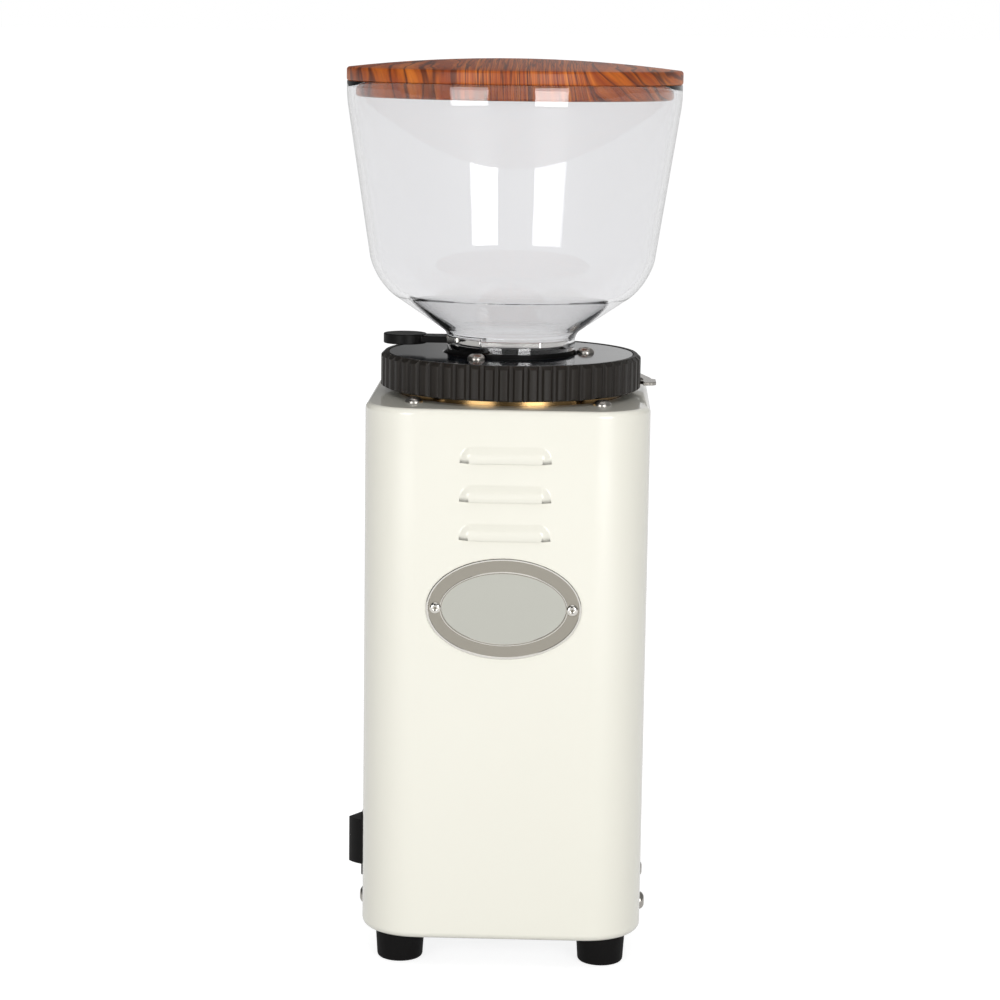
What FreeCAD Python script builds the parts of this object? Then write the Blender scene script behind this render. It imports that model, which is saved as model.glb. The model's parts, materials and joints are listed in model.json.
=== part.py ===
import FreeCAD
import Part
import Sketcher

import math
import os
import re

from FreeCAD import Placement, Rotation, Vector

# Espresso grinder, in millimetres. +Z is up, the louvred rear face looks along -Y and the
# spout side along +Y. The origin lies on the table under the middle of the machine's overall
# length and width; the burr axis stands a little behind it.

doc = FreeCAD.newDocument("EspressoGrinder")
sheet = doc.addObject("Spreadsheet::Sheet", "Dims")

# Driving dimensions

SIZES = (
    # common clearances and cuts
    ("cut_over", 2.0),
    ("fit_clear", 0.3),
    ("shaft_clear", 0.05),
    # housing
    ("body_width", 120.0),
    ("body_depth", 126.0),
    ("body_corner", 24.0),
    ("body_height", 227.5),
    ("shell_wall", 1.5),
    ("top_round", 2.5),
    ("bottom_round", 3.0),
    ("lip_width", 5.0),
    # louvres in the rear face
    ("louvre_width", 37.4),
    ("louvre_rise", 6.8),
    ("louvre_proud", 1.7),
    ("louvre_draft", 60.0),
    ("louvre_corner", 4.5),
    ("louvre_gauge", 0.8),
    ("louvre_pitch", 16.2),
    ("louvre_low", 173.0),
    ("louvre_round", 2.4),
    ("louvre_foot", 2.0),
    ("louvre_count", 3),
    # feet
    ("foot_height", 13.0),
    ("foot_x", 43.2),
    ("foot_y", 45.3),
    ("foot_top_radius", 10.5),
    ("foot_neck_radius", 7.0),
    ("foot_low_radius", 9.7),
    ("foot_edge", 1.2),
    ("foot_bore_radius", 4.4),
    ("foot_bore_depth", 6.5),
    # screws: shank and button head of the M4 size, small and large heads
    ("screw_radius", 2.0),
    ("head_radius", 3.8),
    ("head_height", 2.2),
    ("head_shoulder", 0.7),
    ("screw_grip", 4.0),
    # base plate
    ("base_gauge", 1.5),
    ("base_flange_height", 14.0),
    ("base_flange_length", 72.0),
    ("side_screw_y", 24.0),
    ("side_screw_z", 7.2),
    ("base_slot_width", 3.0),
    ("base_slot_length", 30.0),
    ("base_slot_pitch", 7.0),
    # cord inlet in the base
    ("cord_bore_radius", 3.75),
    ("cord_neck_radius", 6.0),
    ("cord_flange_radius", 8.5),
    ("cord_flange_height", 2.0),
    ("cord_neck_height", 6.0),
    ("cord_y", 10.0),
    # oval plate on the rear face
    ("plate_half_width", 32.5),
    ("plate_half_height", 21.45),
    ("plate_gauge", 0.9),
    ("plate_border", 6.75),
    ("plate_border_low", 5.9),
    ("plate_recess", 0.35),
    ("plate_z", 144.1),
    ("rivet_x", 28.6),
    ("rivet_radius", 2.5),
    ("rivet_height", 0.9),
    ("rivet_shank", 1.4),
    # rocker switch on the left side
    ("switch_y", -12.5),
    ("switch_z", 31.0),
    ("bezel_length", 32.6),
    ("bezel_height", 28.0),
    ("bezel_gauge", 1.5),
    ("bezel_corner", 2.0),
    ("switch_wall", 1.4),
    ("switch_depth", 24.0),
    ("rocker_height", 20.0),
    ("rocker_half_length", 9.6),
    ("rocker_pivot_depth", 4.0),
    ("rocker_mid", 6.6),
    ("rocker_foot", 3.0),
    ("rocker_tilt", 16.0),
    ("rocker_clear", 0.4),
    ("rocker_pin_radius", 1.5),
    ("rocker_pin_reach", 1.0),
    # grinding chamber
    ("chamber_radius", 47.0),
    ("chamber_wall", 5.5),
    ("chamber_height", 41.0),
    ("chamber_floor", 8.0),
    ("chamber_hub_bore", 10.0),
    ("lug_gauge", 6.0),
    ("lug_width", 95.0),
    ("lug_depth", 94.0),
    ("lug_corner", 12.0),
    ("deck_screw_x", 39.6),
    ("deck_screw_y", 40.4),
    ("port_width", 24.0),
    ("port_height", 14.0),
    ("port_wall", 4.0),
    # brass thread ring
    ("ring_radius", 48.3),
    ("ring_bore", 40.0),
    ("ring_height", 9.0),
    ("deck_hole_clear", 0.5),
    # burr carrier under the collar
    ("carrier_flange", 3.5),
    ("flange_ledge", 1.0),
    ("skirt_clear", 1.1),
    ("socket_depth", 10.3),
    ("throat_radius", 14.0),
    # burrs
    ("burr_radius", 27.0),
    ("burr_bore", 14.0),
    ("burr_thick", 6.0),
    ("grind_gap", 0.3),
    ("tooth_depth", 1.1),
    ("tooth_width", 1.5),
    ("tooth_count", 36),
    ("breaker_depth", 2.2),
    ("breaker_width", 3.4),
    ("breaker_radius", 20.5),
    ("breaker_count", 9),
    ("tooth_slant", 4.0),
    # sweeper carrier on the motor shaft
    ("sweep_gap", 1.0),
    ("hub_height", 4.0),
    ("hub_radius", 13.0),
    ("sweeper_thick", 7.0),
    ("sweeper_radius", 31.0),
    ("vane_width", 5.0),
    ("vane_clear", 0.7),
    ("vane_count", 3),
    ("nut_radius", 8.0),
    ("nut_height", 5.5),
    ("seal_height", 5.0),
    # adjusting collar
    ("collar_radius", 56.2),
    ("collar_height", 15.0),
    ("collar_gap", 2.5),
    ("collar_top_chamfer", 1.6),
    ("collar_low_chamfer", 0.8),
    ("flute_count", 57),
    ("flute_depth", 1.5),
    ("flute_mouth", 2.4),
    ("flute_floor", 1.7),
    # disc inside the collar
    ("disc_radius", 53.0),
    ("disc_gauge", 1.5),
    ("disc_sunk", 0.2),
    ("disc_seat_clear", 0.1),
    ("disc_screw_circle", 32.3),
    ("disc_screw_turn", 4.4),
    ("disc_screw_count", 3),
    # neck gasket
    ("gasket_band", 1.6),
    ("gasket_sunk", 0.1),
    # hopper
    ("neck_radius", 27.6),
    ("neck_length", 20.4),
    ("funnel_rise", 22.0),
    ("knuckle_radius", 59.8),
    ("bowl_rise", 77.6),
    ("bowl_radius", 71.6),
    ("rim_height", 7.4),
    ("hopper_wall", 2.8),
    ("knuckle_round", 24.0),
    ("neck_round", 5.0),
    # shutter
    ("shutter_gauge", 2.8),
    ("shutter_arm_width", 11.5),
    ("shutter_reach", 46.0),
    ("thumb_radius", 9.3),
    ("thumb_gauge", 4.2),
    ("shutter_lift", 15.85),
    ("slot_half_width", 21.7),
    # lid
    ("lid_overhang", 0.1),
    ("lid_edge", 5.7),
    ("lid_crown", 4.4),
    ("lid_edge_round", 1.2),
    ("plug_clear", 1.0),
    ("plug_depth", 6.4),
    # latch lever
    ("latch_lift", 3.3),
    ("latch_gauge", 1.5),
    ("latch_pivot_x", 50.5),
    ("latch_pivot_y", 46.5),
    ("latch_eye", 4.0),
    ("latch_arm", 5.0),
    ("latch_inner", 57.6),
    ("latch_reach", 63.2),
    ("latch_near", 2.5),
    ("latch_far", 16.0),
    ("latch_corner", 1.8),
    ("tooth_tip_y", 8.0),
    ("tooth_half", 0.8),
    ("latch_clear", 0.35),
    ("pivot_radius", 2.0),
    # motor
    ("shaft_radius", 6.0),
    ("bell_height", 22.0),
    ("bell_wall", 5.0),
    ("stack_side", 88.0),
    ("stack_corner", 22.0),
    ("stack_height", 56.0),
    ("stator_bore", 26.0),
    ("rotor_gap", 0.5),
    ("winding_outer", 39.0),
    ("winding_inner", 28.0),
    ("winding_height", 13.0),
    ("bearing_radius", 16.0),
    ("bearing_height", 10.0),
    ("bearing_seat_wall", 4.0),
    ("motor_bolt_x", 34.0),
    ("motor_bolt_radius", 2.5),
    ("motor_bolt_head", 4.2),
    ("fan_radius", 37.0),
    ("fan_hub", 11.0),
    ("fan_height", 11.0),
    ("fan_drop", 3.0),
    ("fan_blade", 2.0),
    ("fan_count", 7),
    ("shaft_tail", 3.0),
    # electrical parts on the base
    ("capacitor_radius", 17.5),
    ("capacitor_length", 62.0),
    ("capacitor_y", 36.0),
    ("clip_gauge", 1.0),
    ("clip_width", 14.0),
    ("clip_foot", 10.0),
    ("block_length", 36.0),
    ("block_depth", 18.0),
    ("block_height", 16.0),
    ("block_x", 18.0),
    ("block_y", -34.0),
    ("block_bore", 2.0),
    ("block_pitch", 11.0),
    # chute on the spout side
    ("chute_width", 32.0),
    ("chute_wall", 3.0),
    ("chute_flange_width", 50.0),
    ("chute_flange_height", 38.0),
    ("chute_flange_gauge", 3.0),
    ("chute_reach", 38.0),
    ("chute_drop", 25.0),
    ("chute_top_run", 16.0),
    ("chute_top_fall", 16.0),
    ("chute_mouth", 19.0),
    ("chute_round", 4.0),
    ("chute_screw_x", 20.0),
    # fork for the filter holder
    ("fork_reach", 60.0),
    ("fork_width", 74.0),
    ("fork_gauge", 4.0),
    ("fork_z", 141.0),
    ("fork_skirt", 24.0),
    ("fork_slot_radius", 29.0),
    ("fork_slot_y", 39.0),
    ("fork_tip_rise", 5.0),
    ("fork_tip_length", 5.0),
    ("fork_screw_x", 26.0),
    ("fork_screw_drop", 12.0),
    ("fork_corner", 6.0),
    # start button
    ("button_z", 155.0),
    ("button_radius", 6.4),
    ("button_reach", 9.0),
    ("button_travel", 4.0),
    ("button_edge", 1.2),
    ("button_collar", 1.6),
    ("bezel_band", 3.0),
    ("bezel_rise", 1.5),
    ("microswitch_depth", 7.0),
    ("microswitch_width", 21.0),
    ("microswitch_height", 10.0),
    ("bracket_gauge", 2.0),
    # tray and its shelf
    ("shelf_width", 60.0),
    ("shelf_gauge", 1.5),
    ("shelf_inner", 34.0),
    ("shelf_outer", 116.0),
    ("tray_width", 96.0),
    ("tray_depth", 52.0),
    ("tray_height", 13.0),
    ("tray_wall", 1.2),
    ("tray_corner", 10.0),
    ("tray_gap", 2.0),
)

for row, (alias, value) in enumerate(SIZES, start=1):
    sheet.set("A%d" % row, alias)
    sheet.set("B%d" % row, str(value))
    sheet.setAlias("B%d" % row, alias)
doc.recompute()

# Heights and places that follow from the driving dimensions

AXIS_Y = "((bowl_radius - body_depth / 2 - fork_reach) / 2)"
DECK = "(foot_height + body_height)"
PLATE_LOW = "(foot_height + shell_wall)"
PLATE_TOP = "(%s + base_gauge)" % PLATE_LOW
CHAMBER_TOP = "(%s - shell_wall)" % DECK
CHAMBER_LOW = "(%s - chamber_height)" % CHAMBER_TOP
CAVITY_FLOOR = "(%s + chamber_floor)" % CHAMBER_LOW
CAVITY_RADIUS = "(chamber_radius - chamber_wall)"
SWEEPER_LOW = "(%s + sweep_gap)" % CAVITY_FLOOR
LOWER_BURR = "(%s + hub_height + sweeper_thick)" % SWEEPER_LOW
UPPER_BURR = "(%s + burr_thick + grind_gap)" % LOWER_BURR
CARRIER_LOW = "(%s + burr_thick)" % UPPER_BURR
COLLAR_LOW = "(%s + collar_gap)" % DECK
COLLAR_TOP = "(%s + collar_height)" % COLLAR_LOW
DISC_TOP = "(%s - disc_sunk)" % COLLAR_TOP
FLANGE_TOP = "(%s - disc_gauge)" % DISC_TOP
SOCKET_FLOOR = "(%s - socket_depth)" % FLANGE_TOP
SOCKET_RADIUS = "(neck_radius + fit_clear)"
GASKET_RADIUS = "(neck_radius + gasket_band)"
COLLAR_BORE = "(ring_radius + skirt_clear)"
FLANGE_RADIUS = "(%s + flange_ledge)" % COLLAR_BORE
LID_RADIUS = "(bowl_radius + lid_overhang)"
PLUG_RADIUS = "(bowl_radius - hopper_wall - plug_clear)"
HOPPER_TOP = "(neck_length + funnel_rise + bowl_rise + rim_height)"
STACK_TOP = "(%s - bell_height)" % CHAMBER_LOW
STACK_LOW = "(%s - stack_height)" % STACK_TOP
MOTOR_LOW = "(%s - bell_height)" % STACK_LOW
FAN_TOP = "(%s - fan_drop)" % MOTOR_LOW
FRONT = "(body_depth / 2)"
PORT_Z = "(%s + port_height / 2)" % SWEEPER_LOW
ROCKER_TIP = "(rocker_mid + rocker_half_length * tan(rocker_tilt))"
ROCKER_RADIUS = "(sqrt(rocker_half_length ^ 2 + %s ^ 2))" % ROCKER_TIP
SWITCH_LENGTH = "(2 * (%s + rocker_clear + switch_wall))" % ROCKER_RADIUS
SWITCH_HEIGHT = "(rocker_height + 2 * (rocker_clear + switch_wall))"

# Shares of a size, the same at any scale

CROWN_SHARE = "0.55"
NEAR = 0.01
VENT_END_SHARE = "0.49"
VENT_ROWS = 4
DOME_SIDE_SHARE = "(1 / 3)"
DOME_TOP_SHARE = "0.6"
TERMINAL_SHARE = "(1 / 3)"
TERMINAL_LENGTH_SHARE = "4"
CLIP_TUCK_SHARE = "6"
WIRE_SHARE = "(1 / 3)"
CLAMP_SHARE = "1.2"
WINDING_CORNER_SHARE = "0.25"
BLADE_LEAN_SHARE = "0.6"
BLADE_ROOT_SHARE = "0.8"
BLADE_BOW_SHARE = "2"
ARM_FLARE_SHARE = "0.7"
ARM_NECK_SHARE = "0.1"
ARM_WAIST_SHARE = "0.4"
EYE_SIDE_SHARE = "0.8"
EYE_RISE_SHARE = "0.6"

parts = []


def bound(text):
    """The expression with every size read from the sheet."""
    return re.sub(r"\b([a-z]+(?:_[a-z]+)+)\b", r"Dims.\1", text)


def val(text):
    """The value of an expression in the sizes."""
    return float(sheet.evalExpression(bound(text)))


def bind(item, path, text):
    item.setExpression(path, bound(text))


# Sketch helpers


def new_body(label):
    body = doc.addObject("PartDesign::Body", label)
    body.Label = label
    return body


def origin_plane(body, role):
    for feature in body.Origin.OriginFeatures:
        if feature.Role == role:
            return feature
    raise ValueError(role)


def new_sketch(body, role, across="0", up="0", out="0"):
    """A sketch on one of the body's origin planes, shifted in it and out of it."""
    sketch = body.newObject("Sketcher::SketchObject", body.Label + "_sketch")
    sketch.AttachmentSupport = (origin_plane(body, role), "")
    sketch.MapMode = "FlatFace"
    bind(sketch, "AttachmentOffset.Base.x", across)
    bind(sketch, "AttachmentOffset.Base.y", up)
    bind(sketch, "AttachmentOffset.Base.z", out)
    return sketch


def measure(sketch, kind, elements, text):
    index = sketch.addConstraint(Sketcher.Constraint(kind, *elements, val(text)))
    sketch.setExpression("Constraints[%d]" % index, bound(text))


def pin_point(sketch, geo, position, x, y):
    """Bind a point's two coordinates, measured from the sketch's origin."""
    measure(sketch, "DistanceX", (-1, 1, geo, position), x)
    measure(sketch, "DistanceY", (-1, 1, geo, position), y)


def draw_outline(sketch, vertices):
    """A closed outline. A vertex is (x, y), or (x, y, radius, side) where an arc leaves it,
    with side 1 for a centre on the left of the way to the next vertex and -1 on the right."""
    first = sketch.GeometryCount
    count = len(vertices)
    spots = [Vector(val(v[0]), val(v[1]), 0) for v in vertices]
    ends = []
    for i, vertex in enumerate(vertices):
        start = spots[i]
        end = spots[(i + 1) % count]
        if len(vertex) == 2:
            sketch.addGeometry(Part.LineSegment(start, end), False)
            ends.append((1, 2))
            continue
        radius = val(vertex[2])
        chord = end - start
        middle = (start + end) * 0.5
        height = math.sqrt(max(radius ** 2 - (chord.Length / 2) ** 2, 0))
        left = Vector(-chord.y, chord.x, 0).normalize()
        centre = middle + left * height * vertex[3]
        from_start = math.atan2(start.y - centre.y, start.x - centre.x)
        from_end = math.atan2(end.y - centre.y, end.x - centre.x)
        circle = Part.Circle(centre, Vector(0, 0, 1), radius)
        if vertex[3] > 0:
            sketch.addGeometry(Part.ArcOfCircle(circle, from_start, from_end), False)
            ends.append((1, 2))
        else:
            sketch.addGeometry(Part.ArcOfCircle(circle, from_end, from_start), False)
            ends.append((2, 1))
    for i in range(count):
        after = (i + 1) % count
        pair = (first + i, ends[i][1], first + after, ends[after][0])
        sketch.addConstraint(Sketcher.Constraint("Coincident", *pair))
    for i, vertex in enumerate(vertices):
        pin_point(sketch, first + i, ends[i][0], vertex[0], vertex[1])
        if len(vertex) > 2:
            measure(sketch, "Radius", (first + i,), vertex[2])


def draw_circle(sketch, x, y, radius):
    circle = Part.Circle(Vector(val(x), val(y), 0), Vector(0, 0, 1), val(radius))
    geo = sketch.addGeometry(circle, False)
    pin_point(sketch, geo, 3, x, y)
    measure(sketch, "Radius", (geo,), radius)


def draw_box(sketch, x_low, y_low, x_high, y_high):
    draw_outline(
        sketch, ((x_low, y_low), (x_high, y_low), (x_high, y_high), (x_low, y_high))
    )


def draw_round_box(sketch, width, depth, corner, x="0", y="0"):
    """A rectangle with round corners about (x, y)."""
    a = "(%s) / 2" % width
    b = "(%s) / 2" % depth
    c = "(%s)" % corner
    places = (
        ("-(%s) + %s" % (a, c), "-(%s)" % b),
        ("%s - %s" % (a, c), "-(%s)" % b, c, 1),
        (a, "-(%s) + %s" % (b, c)),
        (a, "%s - %s" % (b, c), c, 1),
        ("%s - %s" % (a, c), b),
        ("-(%s) + %s" % (a, c), b, c, 1),
        ("-(%s)" % a, "%s - %s" % (b, c)),
        ("-(%s)" % a, "-(%s) + %s" % (b, c), c, 1),
    )
    draw_outline(
        sketch,
        [("%s + %s" % (x, p[0]), "%s + %s" % (y, p[1])) + tuple(p[2:]) for p in places],
    )


# Feature helpers


def pad(body, sketch, length, both=False, back=False):
    feature = body.newObject("PartDesign::Pad", body.Label + "_pad")
    feature.Profile = sketch
    bind(feature, "Length", length)
    feature.SideType = "Symmetric" if both else "One side"
    feature.Reversed = back
    sketch.Visibility = False
    return feature


def pocket(body, sketch, length, both=False, along=False):
    """A cut against the sketch's normal, or along it."""
    feature = body.newObject("PartDesign::Pocket", body.Label + "_pocket")
    feature.Profile = sketch
    bind(feature, "Length", length)
    feature.SideType = "Symmetric" if both else "One side"
    feature.Reversed = along
    return feature


def turned(body, sketch, axis="V_Axis", kind="Revolution"):
    feature = body.newObject("PartDesign::" + kind, body.Label + "_" + kind.lower())
    feature.Profile = sketch
    feature.ReferenceAxis = (sketch, [axis])
    feature.Angle = 360
    return feature


def chosen(shape, test):
    return ["Edge%d" % i for i, edge in enumerate(shape.Edges, start=1) if test(edge)]


def dress(body, kind, size, test):
    """A fillet or chamfer on the edges of the body's tip that pass the test."""
    doc.recompute()
    base = body.Tip
    names = chosen(base.Shape, test)
    if not names:
        raise ValueError("no edge to dress on " + body.Label)
    feature = body.newObject("PartDesign::" + kind, body.Label + "_" + kind.lower())
    feature.Base = (base, names)
    bind(feature, "Radius" if kind == "Fillet" else "Size", size)
    body.Tip = feature
    return feature


def polar(body, originals, count):
    doc.recompute()
    feature = body.newObject("PartDesign::PolarPattern", body.Label + "_polar")
    feature.Originals = originals
    feature.Axis = (origin_plane(body, "Z_Axis"), [""])
    feature.Angle = 360
    bind(feature, "Occurrences", count)
    body.Tip = feature
    return feature


def mirrored_pairs(body, originals, roles):
    """Copies on the far side of one or two of the body's origin planes."""
    doc.recompute()
    if len(roles) == 1:
        feature = body.newObject("PartDesign::Mirrored", body.Label + "_mirror")
        feature.Originals = originals
        feature.MirrorPlane = (origin_plane(body, roles[0]), [""])
        body.Tip = feature
        return feature
    feature = body.newObject("PartDesign::MultiTransform", body.Label + "_copies")
    feature.Originals = originals
    steps = []
    for role in roles:
        step = body.newObject("PartDesign::Mirrored", body.Label + "_mirror")
        step.MirrorPlane = (origin_plane(body, role), [""])
        steps.append(step)
    feature.Transformations = steps
    body.Tip = feature
    return feature


def stand(item, x="0", y="0", z="0", turn=None):
    """Place a finished sub-part about the burr axis and keep it for the files."""
    if turn:
        item.Placement = Placement(Vector(), Rotation(turn[0], val(turn[1])))
    bind(item, "Placement.Base.x", x)
    bind(item, "Placement.Base.y", "%s + %s" % (AXIS_Y, y))
    bind(item, "Placement.Base.z", z)
    parts.append(item)
    return item


def turned_part(label, vertices, z="0", x="0", y="0"):
    """A round piece about a vertical axis, from its outline (radius, height)."""
    body = new_body(label)
    sketch = new_sketch(body, "XZ_Plane")
    draw_outline(sketch, vertices)
    turned(body, sketch)
    return stand(body, x, y, z)


def tube_part(label, inner, outer, height, z, x="0", y="0"):
    corners = ((inner, "0"), (outer, "0"), (outer, height), (inner, height))
    return turned_part(label, corners, z, x, y)


def screw_outline(length, radius="screw_radius", head="head_radius", height="head_height"):
    """Half of a button-head screw along +Y of the sketch, its seat at zero."""
    return (
        ("0", "-(%s)" % length),
        (radius, "-(%s)" % length),
        (radius, "0"),
        (head, "0"),
        (head, "head_shoulder * %s / head_height" % height),
        ("%s * %s" % (CROWN_SHARE, head), height),
        ("0", height),
    )


def lying(outline):
    """The outline turned so that its axis is the sketch's horizontal one."""
    return tuple((v[1], v[0]) + tuple(v[2:]) for v in outline)


# Housing


def at_height(height, shape_edge):
    box = shape_edge.BoundBox
    return abs(box.ZMin - height) < NEAR and abs(box.ZMax - height) < NEAR


def body_shell():
    body = new_body("body_shell")
    block = new_sketch(body, "XY_Plane")
    draw_round_box(block, "body_width", "body_depth", "body_corner")
    pad(body, block, "body_height")
    dress(body, "Fillet", "top_round", lambda e: at_height(val("body_height"), e))
    dress(body, "Fillet", "bottom_round", lambda e: at_height(0, e))
    inside = new_sketch(body, "XY_Plane", out="shell_wall")
    draw_round_box(
        inside,
        "body_width - 2 * shell_wall",
        "body_depth - 2 * shell_wall",
        "body_corner - shell_wall",
    )
    pocket(body, inside, "body_height - 2 * shell_wall", along=True)
    mouth = new_sketch(body, "XY_Plane", out="-cut_over")
    draw_round_box(
        mouth,
        "body_width - 2 * lip_width",
        "body_depth - 2 * lip_width",
        "body_corner - lip_width",
    )
    pocket(body, mouth, "shell_wall + 2 * cut_over", along=True)
    louvres(body)
    deck_holes(body)
    front_holes(body)
    side_holes(body)
    return stand(body, z="foot_height")


def louvres(body):
    """Three hoods pressed out of the rear face: drafted all round and open at the bottom."""
    face = "-body_depth / 2"
    run = "louvre_proud * tan(louvre_draft)"
    half = "louvre_width / 2"
    inner = "(%s - louvre_corner)" % half
    foot = "(louvre_low - %s)" % run
    high = "(louvre_low + louvre_rise)"
    mound = new_sketch(body, "XZ_Plane", out="body_depth / 2")
    draw_outline(
        mound,
        (
            ("-" + half, foot),
            (half, foot),
            (half, high + " - louvre_corner", "louvre_corner", 1),
            (inner, high),
            ("-" + inner, high, "louvre_corner", 1),
            ("-" + half, high + " - louvre_corner"),
        ),
    )
    raised = pad(body, mound, "louvre_proud")
    bind(raised, "TaperAngle", "-louvre_draft")
    below = new_sketch(body, "YZ_Plane")
    draw_box(below, face + " - louvre_proud - cut_over", foot + " - cut_over", face, "louvre_low")
    trimmed = pocket(body, below, "louvre_width + 2 * cut_over", both=True)
    void = new_sketch(body, "YZ_Plane")
    crown = "(%s - louvre_gauge / cos(louvre_draft))" % high
    lip = face + " - louvre_proud + louvre_gauge"
    slope = "(louvre_proud - louvre_gauge) * tan(louvre_draft)"
    draw_outline(
        void,
        (
            (face + " + shell_wall + louvre_gauge", "louvre_low"),
            (face + " + shell_wall + louvre_gauge", crown),
            (face, crown),
            (lip, "%s - %s" % (crown, slope)),
            (lip, "louvre_low - louvre_gauge"),
            (face, "louvre_low - louvre_gauge"),
            (face, "louvre_low"),
        ),
    )
    hollow = pocket(body, void, "louvre_width - 2 * (%s) - 2 * louvre_gauge" % run, both=True)
    doc.recompute()
    rows = body.newObject("PartDesign::LinearPattern", "louvre_rows")
    rows.Originals = [raised, trimmed, hollow]
    rows.Direction = (origin_plane(body, "Z_Axis"), [""])
    bind(rows, "Length", "(louvre_count - 1) * louvre_pitch")
    bind(rows, "Occurrences", "louvre_count")
    body.Tip = rows
    low = val("louvre_low")
    pitch = val("louvre_pitch")
    top = val("%s + (louvre_count - 1) * louvre_pitch" % high)
    side = val(half)

    def hood_edges(level):
        """The edges of the hoods that lie flat at one depth, without the straight lips."""

        def chosen(edge):
            box = edge.BoundBox
            flat = abs(box.YMin - level) < NEAR and abs(box.YMax - level) < NEAR
            lip_edge = box.ZLength < NEAR and (box.ZMin - low + NEAR) % pitch < 2 * NEAR
            near = box.ZMin > low - NEAR and box.ZMax < top + NEAR and box.XMax < side + NEAR
            return flat and near and not lip_edge

        return chosen

    dress(body, "Fillet", "louvre_round", hood_edges(val("%s - louvre_proud" % face)))
    dress(body, "Fillet", "louvre_foot", hood_edges(val(face)))


def deck_holes(body):
    holes = new_sketch(body, "XY_Plane", out="body_height + cut_over")
    draw_circle(holes, "0", "0", "ring_radius + deck_hole_clear")
    for side in ("", "-"):
        for end in ("", "-"):
            draw_circle(
                holes, side + "deck_screw_x", end + "deck_screw_y", "screw_radius + fit_clear"
            )
    draw_circle(holes, "latch_pivot_x", "latch_pivot_y", "pivot_radius")
    pocket(body, holes, "shell_wall + 2 * cut_over")


def front_holes(body):
    """The chute's port, the button's hole and the screw holes of the spout side."""
    holes = new_sketch(body, "XZ_Plane", out="-(body_depth / 2 + cut_over)")
    port = "%s - foot_height" % PORT_Z
    draw_round_box(
        holes, "port_width + 2 * fit_clear", "port_height + 2 * fit_clear", "bezel_corner",
        "0", port,
    )
    draw_circle(holes, "0", "button_z", "button_radius + fit_clear")
    for side in ("", "-"):
        draw_circle(holes, side + "chute_screw_x", port, "screw_radius")
        draw_circle(holes, side + "fork_screw_x", "fork_z - fork_screw_drop", "screw_radius")
    pocket(body, holes, "shell_wall + 2 * cut_over", along=True)


def side_holes(body):
    """The switch's window on the left and two screw holes low on either side."""
    window = new_sketch(body, "YZ_Plane", out="-(body_width / 2 + cut_over)")
    draw_round_box(
        window,
        SWITCH_LENGTH + " + 2 * fit_clear",
        SWITCH_HEIGHT + " + 2 * fit_clear",
        "bezel_corner",
        "switch_y",
        "switch_z",
    )
    pocket(body, window, "shell_wall + 2 * cut_over", along=True)
    holes = new_sketch(body, "YZ_Plane")
    draw_circle(holes, "side_screw_y", "side_screw_z", "screw_radius + fit_clear")
    draw_circle(holes, "-side_screw_y", "side_screw_z", "screw_radius + fit_clear")
    pocket(body, holes, "body_width + 2 * cut_over", both=True)
    rivets = new_sketch(body, "XZ_Plane", out="body_depth / 2 + cut_over")
    draw_circle(rivets, "rivet_x", "plate_z", "rivet_shank")
    draw_circle(rivets, "-rivet_x", "plate_z", "rivet_shank")
    pocket(body, rivets, "shell_wall + 2 * cut_over")


def base_plate():
    """A plate on the housing's rolled lip with two upturned flanges for the side screws."""
    body = new_body("base_plate")
    outline = new_sketch(body, "XY_Plane")
    wide = "body_width - 2 * shell_wall - 2 * fit_clear"
    deep = "body_depth - 2 * shell_wall - 2 * fit_clear"
    draw_round_box(outline, wide, deep, "body_corner - shell_wall - fit_clear")
    pad(body, outline, "base_gauge")
    flange = new_sketch(body, "XY_Plane")
    edge = "(%s) / 2" % wide
    draw_box(
        flange,
        "%s - base_gauge" % edge,
        "-base_flange_length / 2",
        edge,
        "base_flange_length / 2",
    )
    upright = pad(body, flange, "base_gauge + base_flange_height")
    mirrored_pairs(body, [upright], ["YZ_Plane"])
    holes = new_sketch(body, "XY_Plane")
    for side in ("", "-"):
        for end in ("", "-"):
            draw_circle(holes, side + "foot_x", end + "foot_y", "screw_radius")
    draw_circle(holes, "0", "cord_y", "cord_neck_radius")
    pocket(body, holes, "base_gauge + cut_over", along=True)
    threads = new_sketch(body, "YZ_Plane")
    low = "side_screw_z - shell_wall"
    draw_circle(threads, "side_screw_y", low, "screw_radius")
    draw_circle(threads, "-side_screw_y", low, "screw_radius")
    pocket(body, threads, "body_width + cut_over", both=True)
    slots = new_sketch(body, "XY_Plane")
    draw_round_box(
        slots, "base_slot_length", "base_slot_width", VENT_END_SHARE + " * base_slot_width",
        "0", "-base_slot_pitch",
    )
    vent = pocket(body, slots, "base_gauge + cut_over", along=True)
    doc.recompute()
    rows = body.newObject("PartDesign::LinearPattern", "vent_rows")
    rows.Originals = [vent]
    rows.Direction = (origin_plane(body, "Y_Axis"), [""])
    rows.Reversed = True
    bind(rows, "Length", "%d * base_slot_pitch" % (VENT_ROWS - 1))
    rows.Occurrences = VENT_ROWS
    body.Tip = rows
    return stand(body, z=PLATE_LOW)


def foot(label, x, y):
    top = "foot_height + shell_wall"
    outline = (
        ("foot_bore_radius", "0"),
        ("foot_low_radius - foot_edge", "0"),
        ("foot_low_radius", "foot_edge"),
        ("foot_top_radius", "foot_height"),
        ("foot_neck_radius", "foot_height"),
        ("foot_neck_radius", top),
        ("screw_radius + fit_clear", top),
        ("screw_radius + fit_clear", "foot_bore_depth"),
        ("foot_bore_radius", "foot_bore_depth"),
    )
    return turned_part(label, outline, "0", x, y)


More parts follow.
